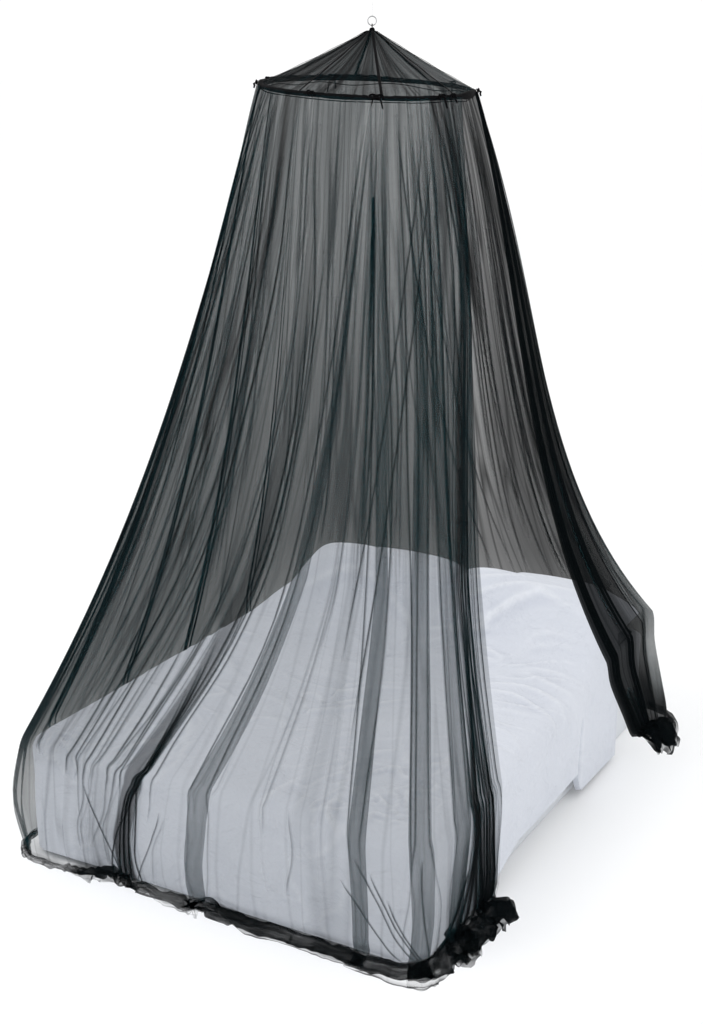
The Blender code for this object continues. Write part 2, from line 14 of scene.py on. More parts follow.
import bmesh
import bpy
import numpy as np
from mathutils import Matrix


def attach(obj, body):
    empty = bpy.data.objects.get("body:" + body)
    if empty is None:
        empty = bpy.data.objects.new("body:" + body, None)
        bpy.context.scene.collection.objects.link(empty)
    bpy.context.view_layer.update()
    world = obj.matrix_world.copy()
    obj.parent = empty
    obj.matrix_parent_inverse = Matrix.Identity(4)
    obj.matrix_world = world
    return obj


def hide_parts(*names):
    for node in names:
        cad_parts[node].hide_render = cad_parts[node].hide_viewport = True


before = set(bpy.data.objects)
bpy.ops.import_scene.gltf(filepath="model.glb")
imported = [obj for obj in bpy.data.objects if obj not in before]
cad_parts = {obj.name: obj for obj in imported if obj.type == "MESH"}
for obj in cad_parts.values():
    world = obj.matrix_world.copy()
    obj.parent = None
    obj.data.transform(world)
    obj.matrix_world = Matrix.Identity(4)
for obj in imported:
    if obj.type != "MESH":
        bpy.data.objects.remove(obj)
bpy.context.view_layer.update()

# Room, bed and hoop, as in the part's source
CEILING = 2.67
BED_WIDTH = 1.40
BED_LENGTH = 1.90
BED_CENTRE_X = 0.027
BED_FOOT_Y = -1.025
BED_TOP = 0.40
CORNER_RADIUS = 0.08
SHOULDER_RADIUS = 0.055
BASE_HEIGHT = 0.16
DUVET_THICKNESS = 0.018
DUVET_HEM = 0.022
# The right side's hem: place along the bed and height; it is split at DUVET_SPLIT
DUVET_SIDE_HEM = ((-1.0, 0.035), (-0.55, 0.040), (-0.37, 0.10), (-0.06, 0.10), (0.14, 0.105),
                  (0.165, 0.03), (0.5, 0.02))
DUVET_SPLIT = 0.15
DUVET_HEAD_Y = 0.50
DUVET_CROWN = 0.012
UNDER_DUVET = 0.0005
# Where the duvet's creases bend round, on each side, and how many columns and rows it has
CREASES_BEND = (0.62, -0.95)
DUVET_GRID = (222, 194)
PILLOW_HALF = (0.305, 0.235, 0.105)
PILLOWS_X = (-0.235, 0.370)
PILLOW_LIFT = 0.018
HOOP_HEIGHT = 2.325
HOOP_RADIUS = 0.325
HOOP_SWING = (-0.013, -0.005)
HOOP_SLOPE = 0.063
HOOP_LOW_SIDE = math.radians(-27.4)
APEX_HEIGHT = 2.50
CROWN_SEAMS = 8
CROWN_SAG = 0.010
CROWN_BOW = 0.004
CROWN_RIM = (0.0032, 0.006)
FIRST_SEAM = math.radians(-54)
BINDING_RADIUS = 0.3305
NET = 0.001
GAP = 0.0003
RING_RADIUS = 0.0132
RING_WIRE = 0.0018
RING_HEIGHT = 2.5225
LINE_RADIUS = 0.00075
LINE_POINTS = 17
HOOK_LOW = 2.618

# Camera
CAMERA_PLACE = (2.3606, -4.3384, -0.1759)
CAMERA_PITCH = -17.314
CAMERA_TURN = 29.28
CAMERA_LENS = 54.307

# Side net: how each stretch of it runs from the hoop over the bed's edge to the floor.  hoop is
# its angle on the hoop in degrees, bow how far it bows inwards, height and clear where it passes
# the bed's edge, shift how far its foot is carried along the bed, out how far off the bed it meets
# the floor, and pile how much cloth lies there.
STATIONS_COLUMNS = ("edge", "hoop", "bow", "height", "clear", "shift", "out", "pile")
STATIONS = (
    (-0.47, -4, 0.48, 0.402, 0.006, 0.10, 0.040, 1.8),
    (-0.37, -9, 0.48, 0.402, 0.006, 0.12, 0.030, 2.4),
    (-0.15, -25, 0.48, 0.402, 0.006, 0.08, 0.022, 2.0),
    (0.02, -36, 0.48, 0.402, 0.006, 0.02, 0.018, 1.4),
    (0.20, -47, 0.48, 0.402, 0.006, -0.02, 0.018, 1.2),
    (0.72, -62, 0.48, 0.402, 0.006, -0.02, 0.018, 1.0),
    (1.08, -90, 0.48, 0.402, 0.006, -0.06, 0.014, 0.7),
    (1.40, -124, 0.50, 0.402, 0.012, 0.00, 0.030, 0.4),
    (2.30, -178, 0.55, 0.405, 0.006, 0.00, 0.050, 0.8),
    (2.70, -200, 0.70, 0.450, 0.008, 0.00, 0.050, 0.9),
    (3.30, -233, 0.80, 0.450, 0.008, 0.00, 0.050, 0.9),
    (4.00, -275, 0.90, 0.450, 0.008, 0.00, 0.050, 0.9),
    (4.66, -318, 1.15, 0.440, 0.004, 0.02, 0.075, 1.0),
    (4.84, -326, 1.15, 0.470, 0.006, 0.02, 0.095, 1.2),
    (5.05, -337, 1.00, 0.460, 0.010, -0.15, 0.070, 2.1),
    (5.20, -345, 0.92, 0.440, 0.008, -0.27, 0.045, 2.6),
)
STATION_EASE = 0.05
# The rows beside the bed, height and share of the way out, and those in the heap, out and up
SIDE_ROWS = ((0.345, 0.15), (0.20, 0.55), (0.085, 0.90))
# Where the net's cloth hangs loose off the bed's left foot corner: edge, half width, how far
BULGE = (1.43, 0.07, 0.034)
PILE_ROWS = ((0.000, 0.020), (0.044, 0.004), (0.054, 0.015),
             (0.014, 0.028), (0.044, 0.028), (0.064, 0.003))
PILE_REACH = (0.36, 0.42)
CONTACT_ANGLE = math.radians(35)
LOW_CONTACT = (0.41, 0.43)
NET_OFF_BINDING = 0.004
NET_TOP_RISE = 0.001

# Folds of the side net: kind, width, depth, turns, cloth, places.  A pleat lies flat in three
# plies, a gather is a bundle of small zigzags.  cloth is how many times thicker the net hangs
# there at the hoop, the bed and the floor; places are where the fold's middle lies along the
# edge at FOLD_LEVELS.
FOLD_LEVELS = (0.0, 0.17, 0.44, 0.70, 0.86, 1.0, 1.6)
BED_LEVEL = FOLD_LEVELS.index(1.0)
FOLDS = (
    ("edge", 0.000, 0.000, 0, (1, 1, 1), (-0.50, -0.50, -0.48, -0.450, -0.475, -0.500, -0.490)),
    ("gather", 0.080, 0.012, 4, (1.4, 1.8, 3.0),
     (-0.14, -0.41, -0.355, -0.290, -0.325, -0.375, -0.420)),
    ("pleat", 0.080, 0.006, 1, (0.34, 0.66, 0.76),
     (-0.05, -0.12, -0.15, -0.175, -0.205, -0.235, -0.220)),
    ("pleat", 0.095, 0.006, 1, (0.34, 0.80, 0.84), (0.06, 0.005, -0.02, -0.005, -0.005, 0.000, -0.030)),
    ("pleat", 0.055, 0.006, 1, (0.36, 1.05, 1.05), (0.445, 0.31, 0.21, 0.165, 0.190, 0.205, 0.195)),
    ("pleat", 0.070, 0.006, 1, (0.36, 0.92, 0.92), (0.60, 0.547, 0.52, 0.555, 0.635, 0.720, 0.765)),
    ("gather", 0.055, 0.010, 3, (1.2, 2.8, 3.0), (1.03, 0.87, 0.78, 0.770, 0.850, 0.955, 1.050)),
)


def standing_folds():
    """The folds of the left, head and right sides, which keep their place from hoop to floor."""
    rows = []
    for edge, width, depth, turns, cloth in (
            (1.20, 0.020, 0.012, 1, 1.16), (1.40, 0.110, 0.020, 3, 1.08), (1.58, 0.050, 0.018, 2, 1.12),
            (1.77, 0.080, 0.020, 1, 1), (1.96, 0.045, 0.018, 2, 1.16), (2.14, 0.080, 0.020, 1, 1),
            (2.33, 0.050, 0.020, 2, 1.12), (2.53, 0.090, 0.020, 1, 1), (2.74, 0.045, 0.018, 2, 1.12),
            (2.98, 0.080, 0.020, 1, 1), (3.30, 0.160, 0.014, 2, 1.08), (3.58, 0.070, 0.016, 1, 1),
            (3.82, 0.030, 0.016, 1, 1.16), (4.06, 0.070, 0.016, 1, 1), (4.34, 0.070, 0.018, 1, 1.04),
            (4.70, 0.160, 0.008, 1, 1), (4.87, 0.050, 0.012, 2, 1.16), (5.01, 0.045, 0.018, 2, 1.2),
            (5.15, 0.050, 0.018, 3, 1.24)):
        rows.append(("gather", width, depth, turns, (cloth,) * 3, (edge,) * len(FOLD_LEVELS)))
    return rows


# How thick the net hangs, in single layers: one row for each edge, one column for each level.
# The last levels are the rope that the hem makes on the floor, its flap and its stitched rim.
THICKNESS_LEVELS = (0.0, 0.3, 0.6, 0.9, 1.2, 1.6, 1.85, 2.05, 2.30, 2.40, 2.485, 2.5)
THICKNESS = (
    (-0.50, (3.2, 3.4, 3.2, 1.5, 1.5, 4.3, 6, 7, 7, 5, 2, 6)),
    (-0.42, (3.5, 3.6, 3.5, 2.2, 2.4, 4.5, 7, 8, 8, 6, 3, 6)),
    (-0.30, (2.8, 2.7, 2.7, 2.2, 2.8, 4.5, 7, 8, 8, 6, 3, 6)),
    (-0.15, (2.6, 2.6, 2.3, 1.9, 1.9, 2.8, 3.4, 5, 5, 3, 1.8, 6)),
    (0.00, (2.6, 2.6, 2.2, 1.67, 1.6, 1.85, 2.02, 4, 4, 1.4, 1.2, 6)),
    (0.10, (2.5, 2.3, 2.1, 1.58, 1.6, 1.85, 2.02, 5, 5, 2, 1.3, 6)),
    (0.45, (2.5, 2.3, 2.1, 1.58, 1.51, 1.6, 1.68, 5, 5, 2.2, 1.3, 6)),
    (0.58, (2.5, 2.3, 2.2, 1.6, 1.51, 1.6, 1.68, 6, 6, 4, 2, 6)),
    (0.66, (2.5, 2.3, 2.2, 1.6, 1.51, 1.68, 1.85, 4.5, 4.5, 3, 1.6, 6)),
    (0.73, (2.5, 2.3, 2.2, 1.6, 1.51, 1.68, 2.0, 3.4, 3.4, 2.6, 1.3, 6)),
    (0.88, (2.6, 2.3, 2.2, 1.7, 1.6, 1.76, 2.2, 3.4, 3.4, 2.4, 1.3, 6)),
    (0.96, (2.5, 2.1, 2, 2, 2.1, 2.9, 3.4, 5, 5, 3.6, 2, 6)),
    (1.08, (2.8, 2.4, 2.2, 2, 2.2, 2.7, 3, 6, 6, 4, 2, 6)),
    (1.14, (3, 3.2, 3, 2.6, 2, 2, 2, 5.5, 5.5, 3.6, 1.8, 5)),
    (1.20, (3, 3.3, 3.3, 2.9, 1.9, 1.7, 1.7, 2.2, 2.2, 1.8, 1.2, 5)),
    (1.30, (3, 3.3, 3.3, 2.9, 1.8, 1.7, 1.7, 2.4, 2.4, 1.8, 1.2, 5)),
    (1.45, (3.4, 4.2, 4.9, 5.2, 2.6, 2, 1.9, 2.4, 2.4, 2, 1.3, 5)),
    (2.00, (3.3, 4.4, 5.6, 6.5, 5, 4.4, 4, 3, 3, 2.5, 1.3, 5)),
    (2.60, (3.1, 4.2, 5.8, 6.8, 5, 4.4, 4, 3, 3, 2.5, 1.3, 5)),
    (3.30, (3.1, 4.0, 5.8, 7.0, 5, 4.4, 4, 3, 3, 2.5, 1.3, 5)),
    (3.70, (3.0, 3.6, 5.2, 6.6, 5, 4.4, 4, 3, 3, 2.5, 1.3, 5)),
    (4.10, (3.1, 4.0, 5.6, 7, 5, 4.4, 4, 3, 3, 2.5, 1.3, 5)),
    (4.30, (5, 6.2, 8.2, 8.6, 5, 4.4, 4, 3, 3, 2.5, 1.3, 5)),
    (4.48, (7, 7.6, 8.6, 8, 3, 3, 3, 3, 3, 2.5, 1.3, 5)),
    (4.75, (6.8, 6.6, 5.6, 3, 2.2, 4, 10, 5, 5, 4, 2, 5)),
    (4.86, (7, 7.4, 7.6, 4.6, 3.4, 7, 14, 10, 10, 8, 3, 6)),
    (4.95, (6.8, 7, 8, 12, 13, 13, 14, 10, 10, 8, 3, 6)),
    (5.06, (6.8, 7, 8, 12, 13, 13, 14, 10, 10, 8, 3, 6)),
    (5.20, (7, 8, 10, 12, 13, 13, 13, 10, 10, 8, 3, 6)),
)
# Sharp folds with a route of their own: the levels between which each one runs, how many layers
# it adds, its half width in millimetres, and its places along the edge at equal steps between
# those levels.  First the dark bundles by the right foot corner and at the head end, then the
# band near the left corner, the creases that fan out from both, and long crossing folds.
CREASES = (
    (0.75, 1.96, 8, 15, (-0.305, -0.325, -0.345, -0.37, -0.395, -0.41)),
    (0.92, 1.96, 7, 19, (-0.30, -0.315, -0.33, -0.345, -0.355, -0.35)),
    (1.05, 1.96, 7, 20, (-0.325, -0.34, -0.33, -0.31, -0.28)),
    (1.20, 1.97, 6, 16, (-0.345, -0.32, -0.27, -0.20)),
    (1.45, 1.97, 6, 14, (-0.29, -0.24, -0.17, -0.10)),
    (1.35, 1.97, 8, 22, (5.16, 5.14, 5.12)),
    (1.30, 1.97, 8, 20, (5.12, 5.09, 5.07)),
    (1.50, 1.97, 7, 18, (5.07, 5.04, 5.02)),
    (0.80, 1.96, 6, 5, (0.835, 0.925, 0.985, 1.01, 1.025, 1.03)),
    (0.84, 1.96, 7, 6, (0.86, 0.945, 1.00, 1.03, 1.045, 1.05)),
    (0.88, 1.96, 6, 4, (0.885, 0.965, 1.015, 1.045, 1.062, 1.072)),
    (0.95, 1.96, 5, 3.5, (0.905, 0.955, 1.005, 1.06, 1.09, 1.10)),
    (1.05, 1.96, 5, 3.5, (0.955, 0.965, 0.985, 1.00, 0.985)),
    (1.22, 1.97, 2.6, 4, (0.21, 0.16, 0.105, 0.05, -0.01)),
    (1.30, 1.97, 3.0, 3.5, (0.16, 0.12, 0.07, 0.02, -0.03)),
    (1.40, 1.97, 2.6, 3.5, (0.255, 0.19, 0.115, 0.04)),
    (1.12, 1.97, 2.4, 4, (-0.005, -0.01, -0.03, -0.06, -0.09)),
    (1.45, 1.97, 3.0, 3.5, (0.10, 0.06, 0.01, -0.05)),
    (1.25, 1.97, 2.6, 3.5, (1.16, 1.13, 1.09, 1.06)),
    (1.30, 1.97, 2.2, 3.5, (0.88, 0.92, 0.97, 1.01)),
    (0.06, 0.97, 3.0, 4.5, (3.70, 3.78, 3.87, 3.97, 4.05)),
    (0.10, 0.97, 2.4, 4, (3.82, 3.92, 4.00, 4.08, 4.15)),
    (0.04, 0.80, 2.4, 4, (-0.02, 0.11, 0.22, 0.31)),
    (0.06, 0.90, 2.6, 4, (-0.10, 0.01, 0.11, 0.19, 0.25)),
)
# Strong folds that follow the cloth down: where each passes the bed's edge, the levels between
# which it runs, how many layers it adds, and its half width in millimetres
STRONG = (
    (-0.45, 0.05, 1.96, 2.6, 5), (-0.40, 0.02, 1.96, 2.8, 5), (-0.34, 0.02, 1.96, 2.2, 6),
    (-0.28, 0.02, 1.96, 1.8, 5), (0.07, 0.05, 1.90, 2.4, 4), (0.30, 0.10, 0.70, 1.8, 4),
    (0.50, 0.20, 0.80, 1.2, 5), (1.12, 0.02, 1.80, 3.0, 5), (1.22, 0.02, 1.20, 2.8, 5),
    (1.32, 0.04, 1.10, 2.4, 5), (2.40, 0.02, 0.90, 2.4, 5), (2.85, 0.02, 0.90, 1.8, 5),
    (3.22, 0.40, 0.98, 2.8, 6), (3.50, 0.02, 0.90, 1.4, 6), (4.22, 0.02, 0.98, 3.0, 5),
    (4.32, 0.02, 0.98, 2.6, 5), (4.42, 0.02, 0.98, 3.2, 6), (4.50, 0.02, 0.98, 3.0, 6),
    (4.72, 0.02, 0.98, 3.2, 6),
)
# Small folds that fall at random: the stretch of the edge, how many lie in it, the levels
# between which they run, and how many layers they add at most
SMALL = (
    (-0.49, -0.25, 9, 0.04, 1.94, 2.4),
    (-0.25, 0.90, 18, 0.02, 0.72, 2.0),
    (-0.20, 0.90, 9, 0.50, 1.94, 0.8),
    (0.85, 1.15, 11, 0.02, 1.94, 2.8),
    (1.15, 1.60, 12, 0.02, 1.10, 2.6),
    (1.60, 4.00, 10, 0.02, 0.95, 2.2),
    (4.00, 4.70, 14, 0.04, 0.97, 2.6),
    (5.00, 5.19, 5, 0.60, 0.97, 3.0),
)
# The folds beside each fold of FOLDS: their levels, layers and half width in millimetres
BESIDE_FOLD = (0.04, 1.95, 2.2, 4.5)
# How those folds wander along the edge: size of each wave, and how fast it turns down the net
WANDER = ((0.022, 2.2), (0.010, 5.0), (0.005, 11.0))
WANDER_LIMITS = (-0.495, 5.195)
# The share of the light that one layer of the net lets through
ONE_LAYER = 0.74
# Its colour where many layers lie over each other, and where it is thin a lighter blue-green: painted
# light
NET_DENSE = (0.001, 0.0022, 0.0028, 1)
NET_THIN_PAINTED_LIGHT = (0.003, 0.015, 0.018, 1)
# How strongly the cloth is drawn into small folds: along the bed's edge, and down the net
DRAWN_ALONG = ((-0.50, 1.1), (-0.20, 0.6), (0.0, 0.3), (0.90, 0.3), (1.10, 0.8), (1.45, 1.1),
               (2.0, 0.25), (3.7, 0.25), (4.1, 0.8), (4.6, 1.4), (5.2, 1.4))
DRAWN_DOWN = ((0.0, 0.7), (0.5, 1.1), (0.65, 0.9), (0.80, 0.35), (1.2, 0.25), (2.0, 0.5))


def station(name, edge):
    """The named column of the stations at each place along the edge, eased between its rows."""
    known, values = (np.array(STATIONS)[:, STATIONS_COLUMNS.index(word)] for word in ("edge", name))
    return sum(np.interp(edge + step * STATION_EASE, known, values) for step in (-1, 0, 1)) / 3


def edge_point(edge, out):
    """The point that lies out from the bed's rounded outline, at each place along its edge."""
    left, right = BED_CENTRE_X - BED_WIDTH / 2, BED_CENTRE_X + BED_WIDTH / 2
    foot, head = BED_FOOT_Y, BED_FOOT_Y + BED_LENGTH
    stops = np.cumsum([-BED_LENGTH, BED_LENGTH, BED_WIDTH, BED_LENGTH, BED_WIDTH, BED_LENGTH])
    x = np.interp(edge, stops, (right, right, left, left, right, right))
    y = np.interp(edge, stops, (head, foot, foot, head, head, foot))
    inner_x = np.clip(x, left + CORNER_RADIUS, right - CORNER_RADIUS)
    inner_y = np.clip(y, foot + CORNER_RADIUS, head - CORNER_RADIUS)
    way_x, way_y = x - inner_x, y - inner_y
    reach = (CORNER_RADIUS + out) / np.hypot(way_x, way_y)
    return inner_x + way_x * reach, inner_y + way_y * reach


def hoop_point(angle, radius, rise):
    """A point beside the tilted hoop: radius from its centre, rise above its plane."""
    x = HOOP_SWING[0] + radius * np.cos(angle)
    y = HOOP_SWING[1] + radius * np.sin(angle)
    z = HOOP_HEIGHT + rise - HOOP_SLOPE * radius * np.cos(angle - HOOP_LOW_SIDE)
    return x, y, z


def catmull_rom(way, before, start, end, after):
    """The Catmull-Rom curve through four rows of points, way along from the second to the third."""
    return (start + way / 2 * (end - before
                               + way * (2 * before - 5 * start + 4 * end - after
                                        + way * (3 * (start - end) + after - before))))


def between(knots, places):
    """Rows of points between the given rows: a Catmull-Rom curve through every column."""
    last = len(knots) - 1
    low = np.clip(np.floor(places).astype(int), 0, last - 1)
    way = (places - low).reshape(-1, *[1] * (knots.ndim - 1))
    return catmull_rom(way, *(knots[np.clip(low + step, 0, last)] for step in (-1, 0, 1, 2)))


def unit(ways):
    """Each way divided by its length."""
    return ways / (np.linalg.norm(ways, axis=-1, keepdims=True) + 1e-12)


# ---------------------------------------------------------------- meshes

LATTICE_SIZE = 64


def lattice(x, y, seed):
    """Soft random hills about one unit across, from 0 to 1: random heights on a lattice, eased
    between its points."""
    heights = np.random.default_rng(seed).random((LATTICE_SIZE, LATTICE_SIZE))
    column_at, row_at = np.floor(x).astype(int), np.floor(y).astype(int)
    u, v = x - column_at, y - row_at
    u, v = u * u * (3 - 2 * u), v * v * (3 - 2 * v)

    def corner(right, up):
        return heights[(row_at + up) % LATTICE_SIZE, (column_at + right) % LATTICE_SIZE]

    low = corner(0, 0) * (1 - u) + corner(1, 0) * u
    high = corner(0, 1) * (1 - u) + corner(1, 1) * u
    return low * (1 - v) + high * v


def ridges(x, y, seed):
    """Narrow crests that wander, from 0 to 1: where soft hills pass their middle height."""
    return np.clip(1 - np.abs(2 * lattice(x, y, seed) - 1) * 2.2, 0, 1) ** 2


def grid_faces(rows, columns, around=False):
    """The four-sided faces of a grid of rows by columns, closed round its columns if asked."""
    row, this = np.meshgrid(np.arange(rows - 1), np.arange(columns if around else columns - 1),
                            indexing="ij")
    that = (this + 1) % columns
    corners = (row * columns + this, row * columns + that,
               (row + 1) * columns + that, (row + 1) * columns + this)
    return np.stack(corners, axis=-1).reshape(-1, 4)


def put(mesh, name, values):
    """Store a value for each point of the mesh, which its material reads by this name."""
    layer = mesh.attributes.new(name, "FLOAT", "POINT")
    layer.data.foreach_set("value", np.ascontiguousarray(values, np.float32).ravel())


def surface(name, points, around=False, flip=False, cloth=None, flat=None):
    """A mesh object from a grid of world points with heights above the floor.

    cloth is the thickness of the net at each point, flat the point's place in the flat cloth."""
    rows, columns = points.shape[:2]
    faces = grid_faces(rows, columns, around)
    if flip:
        faces = faces[:, ::-1]
    placed = points.reshape(-1, 3) - (0, 0, CEILING)
    mesh = bpy.data.meshes.new(name)
    mesh.vertices.add(len(placed))
    mesh.vertices.foreach_set("co", placed.ravel())
    mesh.loops.add(faces.size)
    mesh.loops.foreach_set("vertex_index", faces.ravel())
    mesh.polygons.add(len(faces))
    mesh.polygons.foreach_set("loop_start", np.arange(0, faces.size, 4))
    mesh.update(calc_edges=True)
    mesh.validate()
    if cloth is not None:
        put(mesh, "cloth", cloth)
    if flat is not None:
        layer = mesh.uv_layers.new(name="flat")
        layer.data.foreach_set("uv", flat.reshape(-1, 2)[faces.ravel()].astype(np.float32).ravel())
    mesh.shade_smooth()
    obj = bpy.data.objects.new(name, mesh)
    bpy.context.scene.collection.objects.link(obj)
    return obj


def close_poles(obj):
    """Melt each pole's ring of equal points into one point."""
    shape = bmesh.new()
    shape.from_mesh(obj.data)
    bmesh.ops.remove_doubles(shape, verts=shape.verts, dist=1e-5)
    bmesh.ops.recalc_face_normals(shape, faces=shape.faces)
    shape.to_mesh(obj.data)
    shape.free()
    obj.data.shade_smooth()


def header_solid(obj):
    """Give a strip of tape its thickness."""
    shape = bmesh.new()
    shape.from_mesh(obj.data)
    bmesh.ops.remove_doubles(shape, verts=shape.verts, dist=1e-6)
    bmesh.ops.solidify(shape, geom=shape.faces, thickness=RIBBON)
    shape.to_mesh(obj.data)
    shape.free()


def join(name, objs):
    """Several meshes made one piece: equal points melted, small holes filled, faces turned out."""
    shape = bmesh.new()
    for obj in objs:
        shape.from_mesh(obj.data)
        bpy.data.objects.remove(obj)
    bmesh.ops.remove_doubles(shape, verts=shape.verts, dist=1e-6)
    bmesh.ops.holes_fill(shape, edges=shape.edges, sides=12)
    bmesh.ops.recalc_face_normals(shape, faces=shape.faces)
    mesh = bpy.data.meshes.new(name)
    shape.to_mesh(mesh)
    shape.free()
    mesh.shade_smooth()
    made = bpy.data.objects.new(name, mesh)
    bpy.context.scene.collection.objects.link(made)
    return made


def merge(name, objs):
    """Several open meshes in one piece, with their attributes."""
    with bpy.context.temp_override(active_object=objs[0], object=objs[0], selected_objects=objs,
                                   selected_editable_objects=objs):
        bpy.ops.object.join()
    objs[0].name = objs[0].data.name = name
    return objs[0]


def finish(obj, material, slot, *nodes):
    """Give a piece its material, let it ride on the body and stand for its CAD nodes; slot is not used.
    """
    obj.data.materials.clear()
    obj.data.materials.append(material)
    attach(obj, "root")
    if nodes:
        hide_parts(*nodes)


def let_light_through(obj):
    """The net's threads are too fine to shade what is behind them."""
    obj.visible_shadow = False
    obj.visible_diffuse = False


# ---------------------------------------------------------------- materials

class Socket:
    """An output of a material's node.  Sums, products and powers of it add Math nodes."""

    def __init__(self, paint, out):
        self.paint = paint
        self.out = out

    def math(self, operation, *values):
        return self.paint.node("Math", {"operation": operation}, dict(enumerate(values)))

    def __add__(self, other):
        return self.math("ADD", self, other)

    def __radd__(self, other):
        return self.math("ADD", other, self)

    def __sub__(self, other):
        return self.math("SUBTRACT", self, other)

    def __rsub__(self, other):
        return self.math("SUBTRACT", other, self)

    def __mul__(self, other):
        return self.math("MULTIPLY", self, other)

    def __rmul__(self, other):
        return self.math("MULTIPLY", other, self)

    def __rpow__(self, other):
        return self.math("POWER", other, self)

    def __abs__(self):
        return self.math("ABSOLUTE", self)

    def at_least(self, other):
        return self.math("MAXIMUM", self, other)

    def at_most(self, other):
        return self.math("MINIMUM", self, other)


class Paint:
    """A material in the making: its nodes and its Principled shader."""

    def __init__(self, name, **constants):
        self.material = bpy.data.materials.new(name)
        self.material.use_nodes = True
        self.tree = self.material.node_tree
        self.shader = self.tree.nodes["Principled BSDF"]
        for socket, value in constants.items():
            self.shader.inputs[socket.replace("_", " ")].default_value = value

    def node(self, kind, settings=None, inputs=None, output=0):
        """A node of the kind, its settings made first, then its sockets fed."""
        made = self.tree.nodes.new("ShaderNode" + kind)
        for name, value in (settings or {}).items():
            setattr(made, name, value)
        for socket, value in (inputs or {}).items():
            self.feed(made.inputs[socket], value)
        return Socket(self, made.outputs[output])

    def feed(self, socket, value):
        if isinstance(value, Socket):
            self.tree.links.new(value.out, socket)
        else:
            socket.default_value = value

    def set(self, **inputs):
        """Feed the shader's sockets; a space in a socket's name is written as _."""
        for name, value in inputs.items():
            self.feed(self.shader.inputs[name.replace("_", " ")], value)
        return self.material

    def noise(self, where, scale, detail=2.0, roughness=0.5, distortion=0.0):
        return self.node("TexNoise", {"noise_dimensions": "3D"}, {
            "Vector": where, "Scale": scale, "Detail": detail, "Roughness": roughness,
            "Distortion": distortion})

    def place(self, size=(1, 1, 1)):
        """The piece's object coordinates, stretched along each axis."""
        spot = self.node("TexCoord", output=3)
        return self.node("Mapping", {}, {"Vector": spot, "Scale": size})

    def flat(self, size=(1, 1, 1), start=(0, 0, 0), turn=0.0):
        """The place in the flat cloth, turned, stretched along each axis and then moved."""
        spot = self.node("UVMap", {"uv_map": "flat"})
        if turn:
            spot = self.node("Mapping", {}, {"Vector": spot, "Rotation": (0, 0, turn)})
        return self.node("Mapping", {}, {"Vector": spot, "Scale": size, "Location": start})

    def mix(self, share, first, second):
        """A colour between two colours."""
        return self.node("Mix", {"data_type": "RGBA"}, {0: share, 6: first, 7: second}, output=2)

    def bump(self, height, distance):
        return self.node("Bump", {}, {"Height": height, "Distance": distance})


def net_material():
    """Fine black net: each layer lets ONE_LAYER of the light through, and the thickness at a
    place says how many layers hang there.  It varies a little in long soft folds and in fine
    threads that run down the cloth."""
    paint = Paint("black_net", Roughness=0.8, Specular_IOR_Level=0.04)
    cloth = paint.node("Attribute", {"attribute_name": "cloth"}, output=2)

    def folds(across, down, start):
        """Long soft folds down the cloth, from 0 to 1."""
        return paint.noise(paint.flat((across, down, 1), (0, 0, start)), 1.0, 1.5, 0.5)

    def line(across, down, start, sharp, turn):
        """A thin dark line where the cloth is pinched: it wanders aslant down the net and fades."""
        hill = paint.noise(paint.flat((across, down, 1), (0, 0, start), turn), 1.0, 1.0, 0.5)
        return (1.0 - abs(hill - 0.5) * sharp).at_least(0.0)

    drawn = paint.node("Attribute", {"attribute_name": "drawn"}, output=2)
    tone = 0.70 + folds(6, 0.25, 3.0) * 0.32 + (folds(28, 0.40, 7.0) - 0.5) * drawn * 0.5
    lines = (line(5, 0.30, 11.0, 50.0, 0.03) * 1.7 + line(9, 0.45, 13.0, 42.0, -0.04) * 1.2
             + (line(14, 0.50, 17.0, 32.0, 0.06) + line(22, 0.60, 19.0, 22.0, 0.0) * 0.8) * drawn
             ) * (drawn + 0.25).at_most(1.0)
    hem = paint.node("Attribute", {"attribute_name": "hem"}, output=2)
    lengthwise = (paint.noise(paint.flat((4, 90, 1)), 1.0, 2.0) - 0.5) * hem
    weave = paint.noise(paint.place(), 420.0, 0.0)
    layers = cloth * (tone + lengthwise * 3.6).at_least(0.25) + lines * cloth.at_most(4.0) * 0.60
    # Painted light: where few layers hang, the colour rises to a lighter blue-green for tinted light
    # through the net
    thin = (1.5 - layers * 0.25).at_least(0.0).at_most(1.0) * (1.0 - hem)
    colour = paint.mix(thin, NET_DENSE, NET_THIN_PAINTED_LIGHT)
    return paint.set(Base_Color=colour, Alpha=1.0 - ONE_LAYER ** (layers * (0.94 + weave * 0.12)),
                     Normal=paint.bump(weave, 0.0006))


def tape_material():
    """Black woven tape: fine ribs across it."""
    paint = Paint("black_tape", Roughness=0.85, Specular_IOR_Level=0.08)
    ribs = paint.noise(paint.place(), 900.0, 1.0)
    tone = paint.noise(paint.place(), 60.0, 2.0)
    colour = paint.mix(tone, (0.001, 0.001, 0.0012, 1), (0.005, 0.005, 0.006, 1))
    return paint.set(Base_Color=colour, Normal=paint.bump(ribs, 0.0004))


